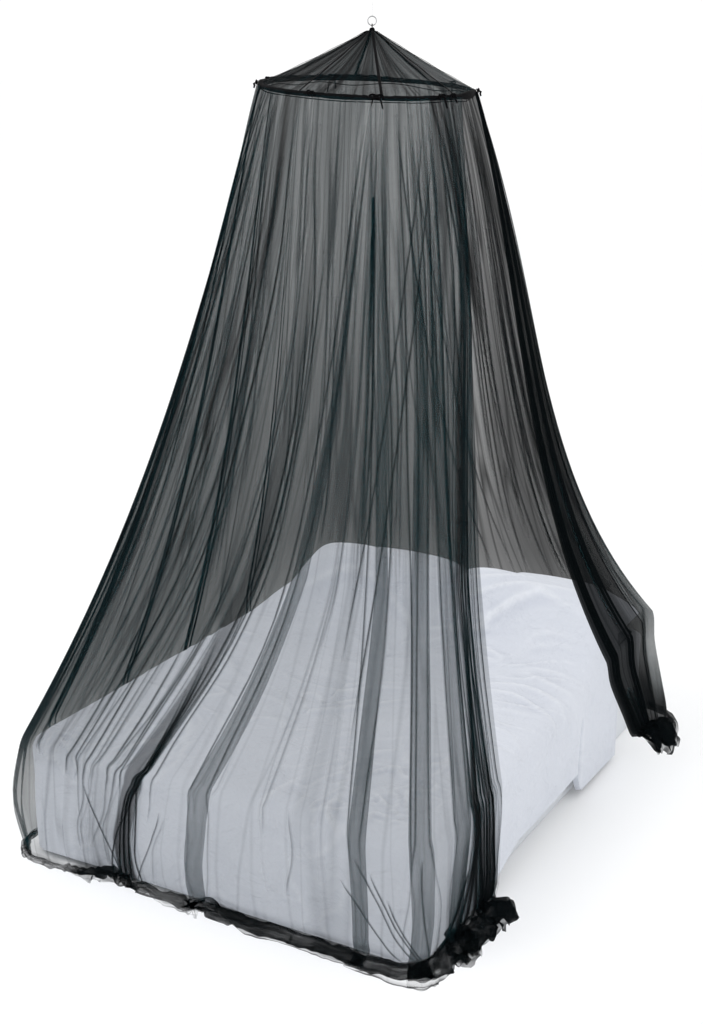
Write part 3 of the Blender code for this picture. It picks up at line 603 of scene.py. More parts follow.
def cotton_material():
    """White washed cotton: a fine weave, small soft creases, slightly uneven white and painted crease
    shade.
    """
    paint = Paint("white_cotton", Roughness=0.85, Specular_IOR_Level=0.2, Sheen_Weight=0.1)
    weave = paint.noise(paint.place(), 700.0, 1.0)
    rumple = paint.noise(paint.place(), 9.0, 4.0, 0.55, 0.4)
    tone = paint.noise(paint.place(), 4.0, 2.0)
    crease_shade = paint.node("Attribute", {"attribute_name": "crease_shade"}, output=2)
    even = paint.mix(tone, (0.67, 0.695, 0.75, 1), (0.72, 0.745, 0.795, 1))
    # Painted shade: the colour is darkened where the duvet's creases sink below their surroundings
    shaded = paint.mix(crease_shade, (0.82, 0.83, 0.86, 1), (1.0, 1.0, 1.0, 1))
    colour = paint.node("Mix", {"data_type": "RGBA", "blend_type": "MULTIPLY"},
                        {0: 1.0, 6: even, 7: shaded}, output=2)
    return paint.set(Base_Color=colour, Normal=paint.bump(rumple * 8.0 + weave * 0.2, 0.003))


def cover_material():
    """The woven cover of mattress and base: fine diagonal ribs."""
    paint = Paint("mattress_cloth", Roughness=0.9, Specular_IOR_Level=0.2)
    rib = paint.node("TexWave", {"wave_type": "BANDS", "bands_direction": "DIAGONAL"}, {
        "Vector": paint.place(), "Scale": 140.0, "Distortion": 0.3, "Detail": 1.0}, output=1)
    tone = paint.noise(paint.place(), 12.0, 2.0)
    colour = paint.mix(tone, (0.67, 0.695, 0.73, 1), (0.72, 0.745, 0.78, 1))
    return paint.set(Base_Color=colour, Normal=paint.bump(rib, 0.0006))


def steel_material():
    """Bright drawn steel wire: fine scratches along it."""
    paint = Paint("steel_wire", Metallic=1.0)
    scratch = paint.noise(paint.place((1, 1, 0.2)), 900.0, 2.0)
    colour = paint.mix(scratch, (0.42, 0.42, 0.43, 1), (0.62, 0.62, 0.63, 1))
    return paint.set(Base_Color=colour, Roughness=0.22 + scratch * 0.25)


def rod_material():
    """Black plastic-coated rod, with a slight sheen and faint rubbing."""
    paint = Paint("rod_coating", Specular_IOR_Level=0.4)
    rub = paint.noise(paint.place(), 200.0, 3.0)
    colour = paint.mix(rub, (0.008, 0.008, 0.009, 1), (0.020, 0.020, 0.022, 1))
    return paint.set(Base_Color=colour, Roughness=0.35 + rub * 0.25)


def paint_node(name, material):
    """Give a CAD node that stays its finer material."""
    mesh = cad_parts[name].data
    mesh.materials.clear()
    mesh.materials.append(material)


NET_FINISH = net_material()
TAPE_FINISH = tape_material()
COTTON_FINISH = cotton_material()
COVER_FINISH = cover_material()
STEEL_FINISH = steel_material()
ROD_FINISH = rod_material()


# ---------------------------------------------------------------- camera, floor and light

def camera():
    """The photo's camera: a little above the hoop, looking down on the bed's right foot corner."""
    data = bpy.data.cameras.new("camera")
    data.lens = CAMERA_LENS
    obj = bpy.data.objects.new("camera", data)
    obj.location = CAMERA_PLACE
    obj.rotation_euler = (math.radians(90 + CAMERA_PITCH), 0, math.radians(CAMERA_TURN))
    bpy.context.scene.collection.objects.link(obj)
    bpy.context.scene.camera = obj


def floor():
    """A plain pale floor, wide enough that its edge is never seen."""
    half = 60.0
    mesh = bpy.data.meshes.new("floor")
    mesh.from_pydata([(-half, -half, -CEILING), (half, -half, -CEILING),
                      (half, half, -CEILING), (-half, half, -CEILING)], [], [(0, 1, 2, 3)])
    obj = bpy.data.objects.new("floor", mesh)
    bpy.context.scene.collection.objects.link(obj)
    paint = Paint("floor", Roughness=0.9, Specular_IOR_Level=0.1)
    grain = paint.noise(paint.place(), 3.0, 2.0)
    mesh.materials.append(paint.set(
        Base_Color=paint.mix(grain, (0.955, 0.96, 0.965, 1), (0.965, 0.97, 0.975, 1))))


def area_light(name, place, target, size, power):
    """A square soft lamp, turned from its place to its target."""
    data = bpy.data.lights.new(name, "AREA")
    data.size = size
    data.energy = power
    obj = bpy.data.objects.new(name, data)
    obj.location = place
    way = np.array(target) - np.array(place)
    obj.rotation_euler = (math.acos(-way[2] / np.linalg.norm(way)), 0,
                          math.atan2(-way[0], way[1]))
    bpy.context.scene.collection.objects.link(obj)


def studio():
    """White all round, a large soft lamp in front on the left and a weak one on the right."""
    world = bpy.data.worlds.new("studio")
    world.use_nodes = True
    world.node_tree.nodes["Background"].inputs["Color"].default_value = (1, 1, 1, 1)
    world.node_tree.nodes["Background"].inputs["Strength"].default_value = 1.05
    bpy.context.scene.world = world
    area_light("key", (-2.5, -4.5, 2.6), (0, 0, -2.2), 3.0, 60)
    area_light("side", (4.5, -1.0, -0.2), (0.4, 0, -2.4), 2.5, 6)
    bpy.context.scene.view_settings.view_transform = "Standard"


camera()
floor()
studio()


# ---------------------------------------------------------------- hanging line

def hanging_line():
    """Nylon line, drawn tight from the top of the ring to the hook."""
    low = RING_HEIGHT + RING_RADIUS + RING_WIRE + GAP - CEILING
    high = HOOK_LOW - GAP - CEILING
    curve = bpy.data.curves.new("nylon_line", "CURVE")
    curve.dimensions = "3D"
    curve.bevel_depth = LINE_RADIUS
    curve.bevel_resolution = 3
    curve.use_fill_caps = True
    spline = curve.splines.new("POLY")
    spline.points.add(LINE_POINTS - 1)
    for point, height in zip(spline.points, np.linspace(low, high, LINE_POINTS)):
        point.co = (0, 0, height, 1)
    obj = bpy.data.objects.new("nylon_line", curve)
    bpy.context.scene.collection.objects.link(obj)
    paint = Paint("clear_line", Roughness=0.25)
    clouds = paint.noise(paint.place(), 300.0, 1.0)
    finish(obj, paint.set(Base_Color=paint.mix(clouds, (0.70, 0.71, 0.73, 1), (0.80, 0.81, 0.83, 1)),
                          Alpha=0.45 + clouds * 0.15), "clear_line", "hanging_line")


hanging_line()


# ---------------------------------------------------------------- side net

HANG_ROWS = 32
FOLD_EDGE = 0.006
FREE_EDGE_SHIFT = 0.05
# Steps along the cloth: small where the photo shows the net, and at its far free edge
NEAR_STEP, NEAR_END = 0.0048, 1.50
FAR_STEP = 0.0125
LAST_STEP, LAST_START = 0.0065, 4.90
EDGE_END = 5.20
# Ripples of the cloth between its folds: length and size
RIPPLES = ((0.043, 0.0012), (0.071, 0.0016), (0.117, 0.0024))
# A little way to each side, from which the way along the bed is taken
ASIDE = 0.004
# A level just above the bed, from which the net's curve over the bed's edge starts
ABOVE_BED = 0.965
# Strips of the sharp folds: rows down each one, places across it in half widths, how far it
# stands off the net, and the layers from which a fold counts as a dark bundle
STRIP_ROWS = 46
STRIP_SHARES = (-1.9, -1.1, -0.6, -0.3, 0.0, 0.3, 0.6, 1.1, 1.9)
STRIP_LIFT = 0.004
BUNDLE_LAYERS = 5


def net_section():
    """The side net's cross section as knots: place along the edge, depth, thickness, and how many
    plies lie there over each other."""
    edge, depth, cloth, plies = [], [], [], []
    for kind, width, deep, turns, thick, places in (*FOLDS, *standing_folds()):
        middle = places[BED_LEVEL]
        if kind == "edge":
            along, up, ply = (0,), (0,), (1,)
        elif kind == "pleat":
            along = (-0.5, 0.5, 0.53, 0.5, -0.5, -0.53, -0.5, 0.5)
            up = (0, 0, 0.25, 0.5, 0.5, 0.75, 1, 1)
            ply = (1, 3, 3, 3, 3, 3, 3, 1)
        else:
            along = np.linspace(-0.5, 0.5, 2 * turns + 1)
            up = np.arange(2 * turns + 1) % 2
            ply = np.ones(2 * turns + 1)
        edge += [middle - width / 2 - FOLD_EDGE, *(middle + width * share for share in along),
                 middle + width / 2 + FOLD_EDGE]
        depth += [deep * share for share in (up[0], *up, up[-1])]
        cloth += [(1, 1, 1), *[thick] * len(along), (1, 1, 1)]
        plies += [1, *ply, 1]
    edge.append(EDGE_END)
    depth.append(0.0)
    cloth.append((1, 1, 1))
    plies.append(1)
    return np.array(edge), np.array(depth), np.array(cloth), np.array(plies)


def net_columns():
    """The cross section again, in small steps along the cloth: way along the cloth, place along
    the edge, depth, thickness and plies at each column."""
    edge, depth, cloth, plies = net_section()
    way = np.concatenate([[0], np.cumsum(np.hypot(np.diff(edge), np.diff(depth)))])
    near, last = np.interp((NEAR_END, LAST_START), np.maximum.accumulate(edge), way)
    steps = np.concatenate([np.arange(0, near, NEAR_STEP), np.arange(near, last, FAR_STEP),
                            np.arange(last, way[-1], LAST_STEP), [way[-1]]])
    edge, depth, plies, *cloth = (np.interp(steps, way, knots)
                                  for knots in (edge, depth, plies, *cloth.T))
    return steps, edge, depth, np.array(cloth), plies


def fold_shift(edge, levels):
    """How far each column is carried along the edge at each level, so that every fold runs
    through its places: the shift is the same all over a fold and eased between folds."""
    knots, shifts = [], []
    for _, width, _, _, _, places in FOLDS:
        carried = np.interp(levels, FOLD_LEVELS, np.array(places) - places[BED_LEVEL])
        for side in (-0.5, 0.5) if width else (0,):
            knots.append(places[BED_LEVEL] + width * side)
            shifts.append(carried)
    for place, carried in ((1.40, 0 * levels), (4.60, 0 * levels),
                           (EDGE_END, FREE_EDGE_SHIFT * np.interp(levels, (0.3, 0.8), (0, 1)))):
        knots.append(place)
        shifts.append(carried)
    weights = np.array([np.interp(edge, knots, row) for row in np.eye(len(knots))])
    return np.array(shifts).T @ weights


def net_base(edge, level):
    """The hanging part of the side net without its folds: it bows inwards like a hanging sheet
    from the hoop to the bed's edge."""
    bow, height, clear = station("bow", edge), station("height", edge), station("clear", edge)
    start = np.radians(station("hoop", edge))
    top = np.array(hoop_point(start, BINDING_RADIUS + NET_OFF_BINDING, NET_TOP_RISE))
    on_shoulder = np.interp(height, LOW_CONTACT, (1, 0))
    contact = clear - SHOULDER_RADIUS * (1 - math.cos(CONTACT_ANGLE)) * on_shoulder
    bed_x, bed_y = edge_point(edge, contact)
    share = np.clip(level, 0, 1)
    plan = share - bow * share ** (1 + bow) * (1 - share)
    return np.stack([top[0] + (bed_x - top[0]) * plan,
                     top[1] + (bed_y - top[1]) * plan,
                     top[2] + (height - top[2]) * share], axis=-1)


def net_foot(edge):
    """The rows of the net below the bed's top: beside the bed, then in the heap on the floor."""
    clear, out = station("clear", edge), station("out", edge)
    shift, pile = station("shift", edge), station("pile", edge)
    rows = []
    for height, share in SIDE_ROWS:
        loose = BULGE[2] * np.exp(-((edge - BULGE[0]) / BULGE[1]) ** 2) * (1 - abs(share - 0.55) / 0.6)
        x, y = edge_point(edge + shift * (1 - height / BED_TOP), clear + (out - clear) * share + loose)
        rows.append(np.stack([x, y, np.full_like(x, height)], axis=-1))
    for step, rise in PILE_ROWS:
        x, y = edge_point(edge + shift, out + step * (PILE_REACH[0] + PILE_REACH[1] * pile))
        rows.append(np.stack([x, y, rise * pile if rise > 0.01 else rise + NET + 0 * x], axis=-1))
    return rows


FOOT_LEVELS = (1.0, *(2 - height / BED_TOP for height, _ in SIDE_ROWS), 2.0, 2.1, 2.2, 2.3, 2.4, 2.5)
FOOT_ROWS = range(1, len(FOOT_LEVELS) + 1)
FLOOR_ROW = 1 + len(SIDE_ROWS)


def net_point(edge, level):
    """The side net without its folds, at each place along the edge and level: it hangs to the
    bed, passes the bed's rounded shoulder, falls beside it, and its hem turns back and forth in
    a low heap.  Below the bed it is a Catmull-Rom curve through the rows of net_foot."""
    hang = net_base(edge, level)
    knots = np.stack([net_base(edge, ABOVE_BED), net_base(edge, 1.0), *net_foot(edge)])
    last = len(knots) - 1
    place = np.interp(level, FOOT_LEVELS, FOOT_ROWS)
    low = np.clip(np.floor(place).astype(int), 1, last - 1)
    way = (place - low)[..., None]
    below = catmull_rom(way, *(
        np.take_along_axis(knots, np.clip(low + step, 0, last)[None, ..., None], axis=0)[0]
        for step in (-1, 0, 1, 2)))
    return np.where((level <= 1)[..., None], hang, below)


def net_levels():
    """The levels of the side net's rows: close at the hoop and at the bed, closest in the hem."""
    beside = np.linspace(1, FLOOR_ROW, 16)[1:]
    in_hem = np.linspace(FLOOR_ROW, FOOT_ROWS[-1], 37)[1:]
    return np.concatenate([1 - (1 - np.linspace(0, 1, HANG_ROWS)) ** 1.15,
                           *(np.interp(rows, FOOT_ROWS, FOOT_LEVELS) for rows in (beside, in_hem))])


# Where the hem lies crumpled, and where its rim is a frill: place along the edge, half width of
# the stretch, how far the cloth is thrown about, and how deep the frill waves.
CRUMPLES = (
    (-0.47, 0.05, 0.016, 0.016),
    (-0.36, 0.10, 0.034, 0.016),
    (-0.20, 0.09, 0.032, 0.010),
    (0.66, 0.05, 0.014, 0.014),
    (0.74, 0.06, 0.020, 0.006),
    (0.95, 0.06, 0.012, 0.014),
    (1.08, 0.08, 0.026, 0.014),
    (5.00, 0.10, 0.030, 0.016),
    (5.16, 0.10, 0.050, 0.026),
)
# Hills of the crumpled hem: how many to a metre along the cloth, and to a level down it
HILLS = (26, 9)
SLOW_HILLS = (8, 4)
# Waves of the frill: length and size
FRILL_WAVES = ((0.038, 0.4), (0.061, 0.5), (0.095, 0.5))
# How wide the hem's flap lies outside its rope, as a share of the widest
FLAP = ((-0.50, 0.9), (-0.40, 0.6), (-0.12, 0.5), (-0.02, 1.5), (0.08, 0.7), (0.30, 0.45),
        (0.45, 0.6), (0.55, 1.3), (0.62, 0.3), (0.75, 0.5), (0.88, 1.0), (0.95, 0.7), (1.02, 0.3),
        (1.12, 1.0), (1.18, 0.6), (1.35, 0.0), (1.60, 0.4), (5.20, 0.6))


def crumple(way, edge, levels):
    """How far the hem is thrown about on the floor: soft random hills in the three directions,
    strongest in the stretches of the table, and waves along the stretched rim of its frill."""
    near = [np.exp(-((edge - row[0]) / row[1]) ** 2) for row in CRUMPLES]
    throw = 0.008 + sum(row[2] * share for row, share in zip(CRUMPLES, near))
    frill = 0.002 + sum(row[3] * share for row, share in zip(CRUMPLES, near))
    on_floor = np.clip((levels - 1.75) / 0.35, 0, 1)[:, None]
    rim = np.clip((levels - 2.33) / 0.17, 0, 1)[:, None]
    across, down = np.meshgrid(way * HILLS[0], levels * HILLS[1])
    slow_across, slow_down = np.meshgrid(way * SLOW_HILLS[0], levels * SLOW_HILLS[1])
    thrown = np.stack([lattice(across, down, seed) + 1.2 * lattice(slow_across, slow_down, seed + 3)
                       + 0.6 * lattice(across * 2.3, down * 2.6, seed + 6)
                       for seed in (31, 32, 33)], axis=-1) - (1.4, 1.4, 1.1)
    random = np.random.default_rng(8)
    wave = sum(size * np.sin(2 * math.pi * way / length + random.uniform(0, 6))
               for length, size in FRILL_WAVES)
    moved = thrown * (throw[None, :] * on_floor)[:, :, None]
    moved[:, :, 2] += rim * frill[None, :] * 0.5 * (1 + wave[None, :])
    outward = np.array(edge_point(edge, 1.0)) - np.array(edge_point(edge, 0.0))
    flap = np.interp(edge, *zip(*FLAP)) - 1 + 0.5 * (lattice(way * 14, way * 0, 34) - 0.5)
    moved[:, :, :2] += (np.clip((levels - 2.38) / 0.12, 0, 1)[:, None, None]
                        * (0.022 * flap[:, None] * outward.T)[None])
    return moved


def following_folds():
    """Rows like those of CREASES, for folds that follow the cloth from level to level: two along
    the sides of every fold of FOLDS, the strong ones, and the small ones with a wander of their
    own."""
    random = np.random.default_rng(17)
    steps = np.linspace(0, 1, 9)
    chosen = [(places[BED_LEVEL] + side * width / 2, *BESIDE_FOLD)
              for _, width, _, _, _, places in FOLDS if width for side in (-1, 1)]
    chosen += STRONG
    for first, last, count, top, bottom, layers in SMALL:
        for place in random.uniform(first, last, count):
            length = (bottom - top) * random.uniform(0.4, 1.0)
            start = top + (bottom - top - length) * random.random()
            chosen.append((place, start, start + length, layers * random.uniform(0.3, 1.0),
                           random.uniform(4.0, 7.5)))
    rows = []
    for place, start, end, layers, width in chosen:
        levels = start + (end - start) * steps
        carried = place + fold_shift(np.array([place]), levels)[:, 0]
        waves = random.uniform(0, 2 * math.pi, 3)
        wander = sum(size * np.sin(count * levels + wave)
                     for (size, count), wave in zip(WANDER, waves))
        rows.append((start, end, layers, width, np.clip(carried + wander, *WANDER_LIMITS)))
    return rows


def net_folds():
    """The sharp folds of the net: each is a narrow strip that stands a little off the net along
    its route, thickest in its middle and fading at its sides and at both ends."""
    share = np.array(STRIP_SHARES)
    steps = np.linspace(0, 1, STRIP_ROWS)
    points, cloth, flat = [], [], []
    for start, end, layers, width, route in (*CREASES, *following_folds()):
        levels = start + (end - start) * steps
        place = between(np.array(route), steps * (len(route) - 1))
        middle = net_point(place, levels)
        across = unit(net_point(place + ASIDE, levels) - net_point(place - ASIDE, levels))
        normal = unit(np.cross(across, np.gradient(middle, axis=0)))
        hill = 2.20 * np.exp(-(share / 0.50) ** 2) + 0.35 * np.exp(-share**2)
        lift = STRIP_LIFT + 0.002 * hill
        points.append(middle[:, None, :] + across[:, None, :] * (share * width / 1000)[None, :, None]
                      + normal[:, None, :] * lift[None, :, None])
        fade = np.clip(np.minimum(steps, 1 - steps) * (end - start) / 0.10, 0, 1)[:, None]
        if layers < BUNDLE_LAYERS and start < 1:
            fade = fade * np.interp(levels, (0.98, 1.25), (1, 0.3))[:, None]
        cloth.append(layers * fade * (hill * (np.abs(share) < 1.8))[None, :])
        flat.append(np.stack(np.broadcast_arrays(place[:, None] + share * width / 1000,
                                                 levels[:, None]), axis=-1))
    parts = [surface(f"fold_part_{number}", made[0], cloth=made[1], flat=made[2])
             for number, made in enumerate(zip(points, cloth, flat))]
    return merge("net_folds", parts)


def net_thickness(edge, levels, folded, plies, in_hem):
    """How many layers of net hang at each point: the table's value there, times that of the fold
    it lies in, or in the hem shared out among the fold's plies."""
    known = [row[0] for row in THICKNESS]
    across = np.array([np.interp(edge, known, [row[1][level] for row in THICKNESS])
                       for level in range(len(THICKNESS_LEVELS))])
    down_weights = np.array([np.interp(levels, THICKNESS_LEVELS, row)
                             for row in np.eye(len(THICKNESS_LEVELS))])
    fold_weights = np.array([np.interp(levels, (0, 0.9, 1.9), row) for row in np.eye(3)])
    return (down_weights.T @ across) * ((fold_weights.T @ folded) * (1 - in_hem) + in_hem / plies)


def side_net():
    """The net: its base, with each fold standing out along the surface's own normal."""
    way, edge, depth, folded, plies = net_columns()
    levels = net_levels()
    carried = edge[None, :] + fold_shift(edge, levels)
    level = np.broadcast_to(levels[:, None], carried.shape)
    points = net_point(carried, level)
    along = net_point(carried + ASIDE, level) - net_point(carried - ASIDE, level)
    normal = unit(np.cross(along, np.gradient(points, axis=0)))
    strength = np.interp(levels, (0, 1, 1.6, 2.0, 2.5), (0.30, 1, 1.0, 0.7, 0.3))
    random = np.random.default_rng(5)
    ripple = sum(size * (0.5 + 0.5 * np.sin(2 * math.pi * way / length + random.uniform(0, 6)))
                 for length, size in RIPPLES)
    points = points + normal * ((depth + ripple)[None, :] * strength[:, None])[:, :, None]
    points += crumple(way, carried[-1], levels)
    points[:, :, 2] = np.maximum(points[:, :, 2], NET)

    in_hem = np.clip((levels - 1.90) / 0.1, 0, 1)[:, None]
    cloth = net_thickness(edge, levels, folded, plies, in_hem)
    drawn = (np.interp(edge, *zip(*DRAWN_ALONG))[None, :]
             * np.interp(levels, *zip(*DRAWN_DOWN))[:, None])
    one_column = points[:, len(way) // 3]
    length_down = np.concatenate([[0], np.cumsum(np.linalg.norm(np.diff(one_column, axis=0), axis=-1))])
    flat = np.stack(np.meshgrid(way, length_down), axis=-1)
    obj = surface("net_sides", points, cloth=cloth, flat=flat)
    put(obj.data, "hem", np.broadcast_to(in_hem, drawn.shape))
    put(obj.data, "drawn", drawn)
    finish(obj, NET_FINISH, "black_net", "side_net")
    let_light_through(obj)
    folds = net_folds()
    finish(folds, NET_FINISH, "black_net")
    let_light_through(folds)


side_net()


# ---------------------------------------------------------------- crown

def crown_point(angle, share, rise):
    """A point of the cone, share of the way from its tip to the hoop, with its sag between seams."""
    rim_x, rim_y, rim_z = hoop_point(angle, HOOP_RADIUS + CROWN_RIM[0], CROWN_RIM[1])
    between_seams = np.abs(np.sin((angle - FIRST_SEAM) * CROWN_SEAMS / 2))
    sag = CROWN_SAG * between_seams * 4 * share * (1 - share) + CROWN_BOW * np.sin(math.pi * share)
    return np.stack([rim_x * share, rim_y * share,
                     APEX_HEIGHT + (rim_z - APEX_HEIGHT) * share - sag + rise], axis=-1)


def crown():
    """The cone of net from the knot to the hoop, thicker towards the knot and on its left side."""
    angle = np.linspace(0, 2 * math.pi, 48 * CROWN_SEAMS, endpoint=False) + FIRST_SEAM
    share = np.linspace(0.03, 1.0, 40)
    a, s = np.meshgrid(angle, share)
    random = np.random.default_rng(11)
    crease = sum(size * np.sin(count * a + random.uniform(0, 6))
                 for count, size in ((29, 0.0006), (41, 0.0005), (67, 0.0004)))
    points = crown_point(a, s, 0.0)
    points[:, :, 2] += crease * np.sin(math.pi * s)
    left = 0.5 + 0.5 * np.cos(a - math.radians(200))
    cloth = 3.95 + 1.5 * left + 2.0 * np.exp(-s / 0.15)
    flat = np.stack([a * HOOP_RADIUS, s * 0.37], axis=-1)
    obj = surface("net_crown", points, around=True, flip=True, cloth=cloth, flat=flat)
    put(obj.data, "drawn", 0.35 + 0.9 * left)
    finish(obj, NET_FINISH, "black_net", "crown_net")
    let_light_through(obj)


# ---------------------------------------------------------------- hoop, binding, seams, ties

RIBBON = 0.0006
# A way that no tube runs along, from which each tube's section is turned
SLANT = (0.31, 0.17, 0.93)
SEAM_WIDTH = 0.0085
SLEEVE = (0.0052, 0.0066)
# Lumps of tape on the binding: where, in degrees, how much fuller, and how wide
BINDING_LUMPS = ((206, 1.0, 0.02), (16, 0.8, 0.04))
HEADER_COLUMNS = 1500
HEADER_RISE = 0.0065
HEADER_STRETCH = (math.radians(95), math.radians(205))

# Ribbon ties round the hoop: where, in degrees, how long each end is, and how far apart they hang
TIES = (
    (-148, 0.012, 0.016, 0.009),
    (-90, 0.036, 0.024, 0.012),
    (-57, 0.040, 0.034, 0.018),
    (-22, 0.024, 0.034, 0.012),
    (-14, 0.030, 0.022, 0.010),
    (24, 0.016, 0.012, 0.009),
    (66, 0.032, 0.026, 0.012),
    (138, 0.040, 0.052, 0.014),
    (186, 0.028, 0.034, 0.012),
)
TIE_WIDTH = 0.0058
TIE_STEPS = 90
TIE_FLARE = 0.33
TIE_OFF = 0.011
TIE_KNOT_RISE = 0.0062
BINDING_THICKNESS = 0.0015
LOOP_RADIUS = 0.0062
LOOP_TAPE = 0.0016
KNOT_WRAPS = 5
# The ring faces the camera
RING_WAY = (math.cos(math.radians(CAMERA_TURN)), math.sin(math.radians(CAMERA_TURN)))


def tube(path, radius, sides=10, around=False):
    """A round section carried along a path of points above the floor; radius may vary along it."""
    path = np.asarray(path, float)
    if around:
        way = np.roll(path, -1, axis=0) - np.roll(path, 1, axis=0)
    else:
        way = np.gradient(path, axis=0)
    side = unit(np.cross(unit(way), SLANT))
    up = np.cross(side, unit(way))
    turn = np.linspace(0, 2 * math.pi, sides, endpoint=False)
    size = np.broadcast_to(radius, len(path))[:, None, None]
    ring = (side[:, None, :] * np.cos(turn)[None, :, None]
            + up[:, None, :] * np.sin(turn)[None, :, None])
    return path[:, None, :] + ring * size


def closed_tube(name, path, radius, sides=10, around=False):
    """A tube as a piece: joined end to end, or with both ends drawn in to a point."""
    points = tube(path, radius, sides, around)
    if around:
        points = np.concatenate([points, points[:1]])
    else:
        ends = [np.repeat(points[end].mean(axis=0)[None, :], sides, axis=0) for end in (0, -1)]
        points = np.concatenate([ends[0][None], points, ends[1][None]])
    obj = surface(name, points, around=True)
    close_poles(obj)
    return obj


def ribbon(name, path, across, width):
    """A flat ribbon along a path of points above the floor: each point, the way across it there,
    and its width.  It is a thin closed form, a little cupped."""
    share = np.array((-1, -0.5, 0, 0.5, 1, 0.5, 0, -0.5))
    path, across = np.asarray(path, float), np.asarray(across, float)
    way = np.gradient(path, axis=0)
    straight = way * (across * way).sum(1, keepdims=True) / (way * way).sum(1, keepdims=True)
    across = unit(across - straight)
    face = unit(np.cross(way, across))
    half = np.broadcast_to(width, len(path))[:, None, None] / 2
    thick = np.array((0, 1, 1, 1, 0, -1, -1, -1)) * RIBBON / 2 + 0.12 * 0.003 * share**2
    points = (path[:, None, :] + across[:, None, :] * share[None, :, None] * half
              + face[:, None, :] * thick[None, :, None])
    ends = [np.repeat(points[end].mean(axis=0)[None, :], len(share), axis=0) for end in (0, -1)]
    obj = surface(name, np.concatenate([ends[0][None], points, ends[1][None]]), around=True)
    close_poles(obj)
    return obj


def crown_seams():
    """Eight narrow tapes down the cone, each a little wavy, in one piece."""
    share = np.linspace(0.05, 0.992, 40)
    points = []
    for number in range(CROWN_SEAMS):
        angle = FIRST_SEAM + number * 2 * math.pi / CROWN_SEAMS
        middle = crown_point(np.full_like(share, angle), share, NET + GAP)
        middle[:, 2] += 0.0008 * np.sin(share * 23 + number)
        across = np.array([-math.sin(angle), math.cos(angle), 0]) * SEAM_WIDTH / 2
        rows = [middle + across * side + (0, 0, rise)
                for side, rise in ((-1, 0), (-0.6, 0.001), (0.6, 0.001), (1, 0), (0, -0.0005))]
        points.append(np.stack(rows, axis=1))
    objs = [surface(f"seam_part_{n}", rows, around=True) for n, rows in enumerate(points)]
    return join("crown_seam_tapes", objs)


def hoop_binding():
    """The black tape sewn round the rod: an upright oval section carried round the hoop, fuller in
    some places, with a gathered header that stands up as a frill over the far left part, and the
    thin cord of the net's own hem, which droops between the ties."""
    angle = np.linspace(0, 2 * math.pi, 720, endpoint=False)
    turn = np.linspace(0, 2 * math.pi, 14, endpoint=False)
    a, t = np.meshgrid(angle, turn, indexing="ij")
    full = 0.85 + 0.35 * lattice(a * 9, t * 0 + 3, 41) + 0.12 * lattice(a * 40, t * 1.2, 42)
    ends = 1
    for degrees, size, wide in BINDING_LUMPS:
        ends = ends + size * np.exp(-((np.cos(a - math.radians(degrees)) - 1) / wide) ** 2)
    radius = HOOP_RADIUS + 0.0008 + SLEEVE[0] * full * ends * np.cos(t)
    sleeve = np.stack(hoop_point(a, radius, SLEEVE[1] * full * ends * np.sin(t)), axis=-1)
    sleeve = surface("sleeve", np.concatenate([sleeve, sleeve[:1]]), around=True)

    angle = np.linspace(0, 2 * math.pi, HEADER_COLUMNS, endpoint=False)
    rise = np.linspace(0, 1, 6)
    a, r = np.meshgrid(angle, rise, indexing="ij")
    inside = np.clip((a - HEADER_STRETCH[0]) / 0.3, 0, 1) * np.clip((HEADER_STRETCH[1] - a) / 0.3, 0, 1)
    high = HEADER_RISE * (0.25 + 0.75 * inside) * (0.45 + 0.9 * lattice(a * 22, r * 0 + 5, 43))
    wave = 0.0035 * np.sin(a * 95 + 5 * lattice(a * 12, r * 0, 44)) * r
    x, y, z = hoop_point(a, HOOP_RADIUS + wave, 0.006 + high * r)
    header = surface("header", np.stack([x, y, z], axis=-1)[np.r_[0:HEADER_COLUMNS, 0]])
    header_solid(header)

    angle = np.linspace(0, 2 * math.pi, 500, endpoint=False)
    droop = 0.5 + 0.5 * np.cos(angle * 9 + 1.2 * np.sin(angle * 2))
    low = -0.011 - 0.010 * droop * np.clip(np.sin(angle) + 0.5, 0.15, 1)
    cord = np.stack(hoop_point(angle, HOOP_RADIUS + 0.001, low), axis=-1)
    hem_cord = closed_tube("hem_cord_part", cord, 0.0014, 8, around=True)
    return join("binding", [sleeve, header, hem_cord])


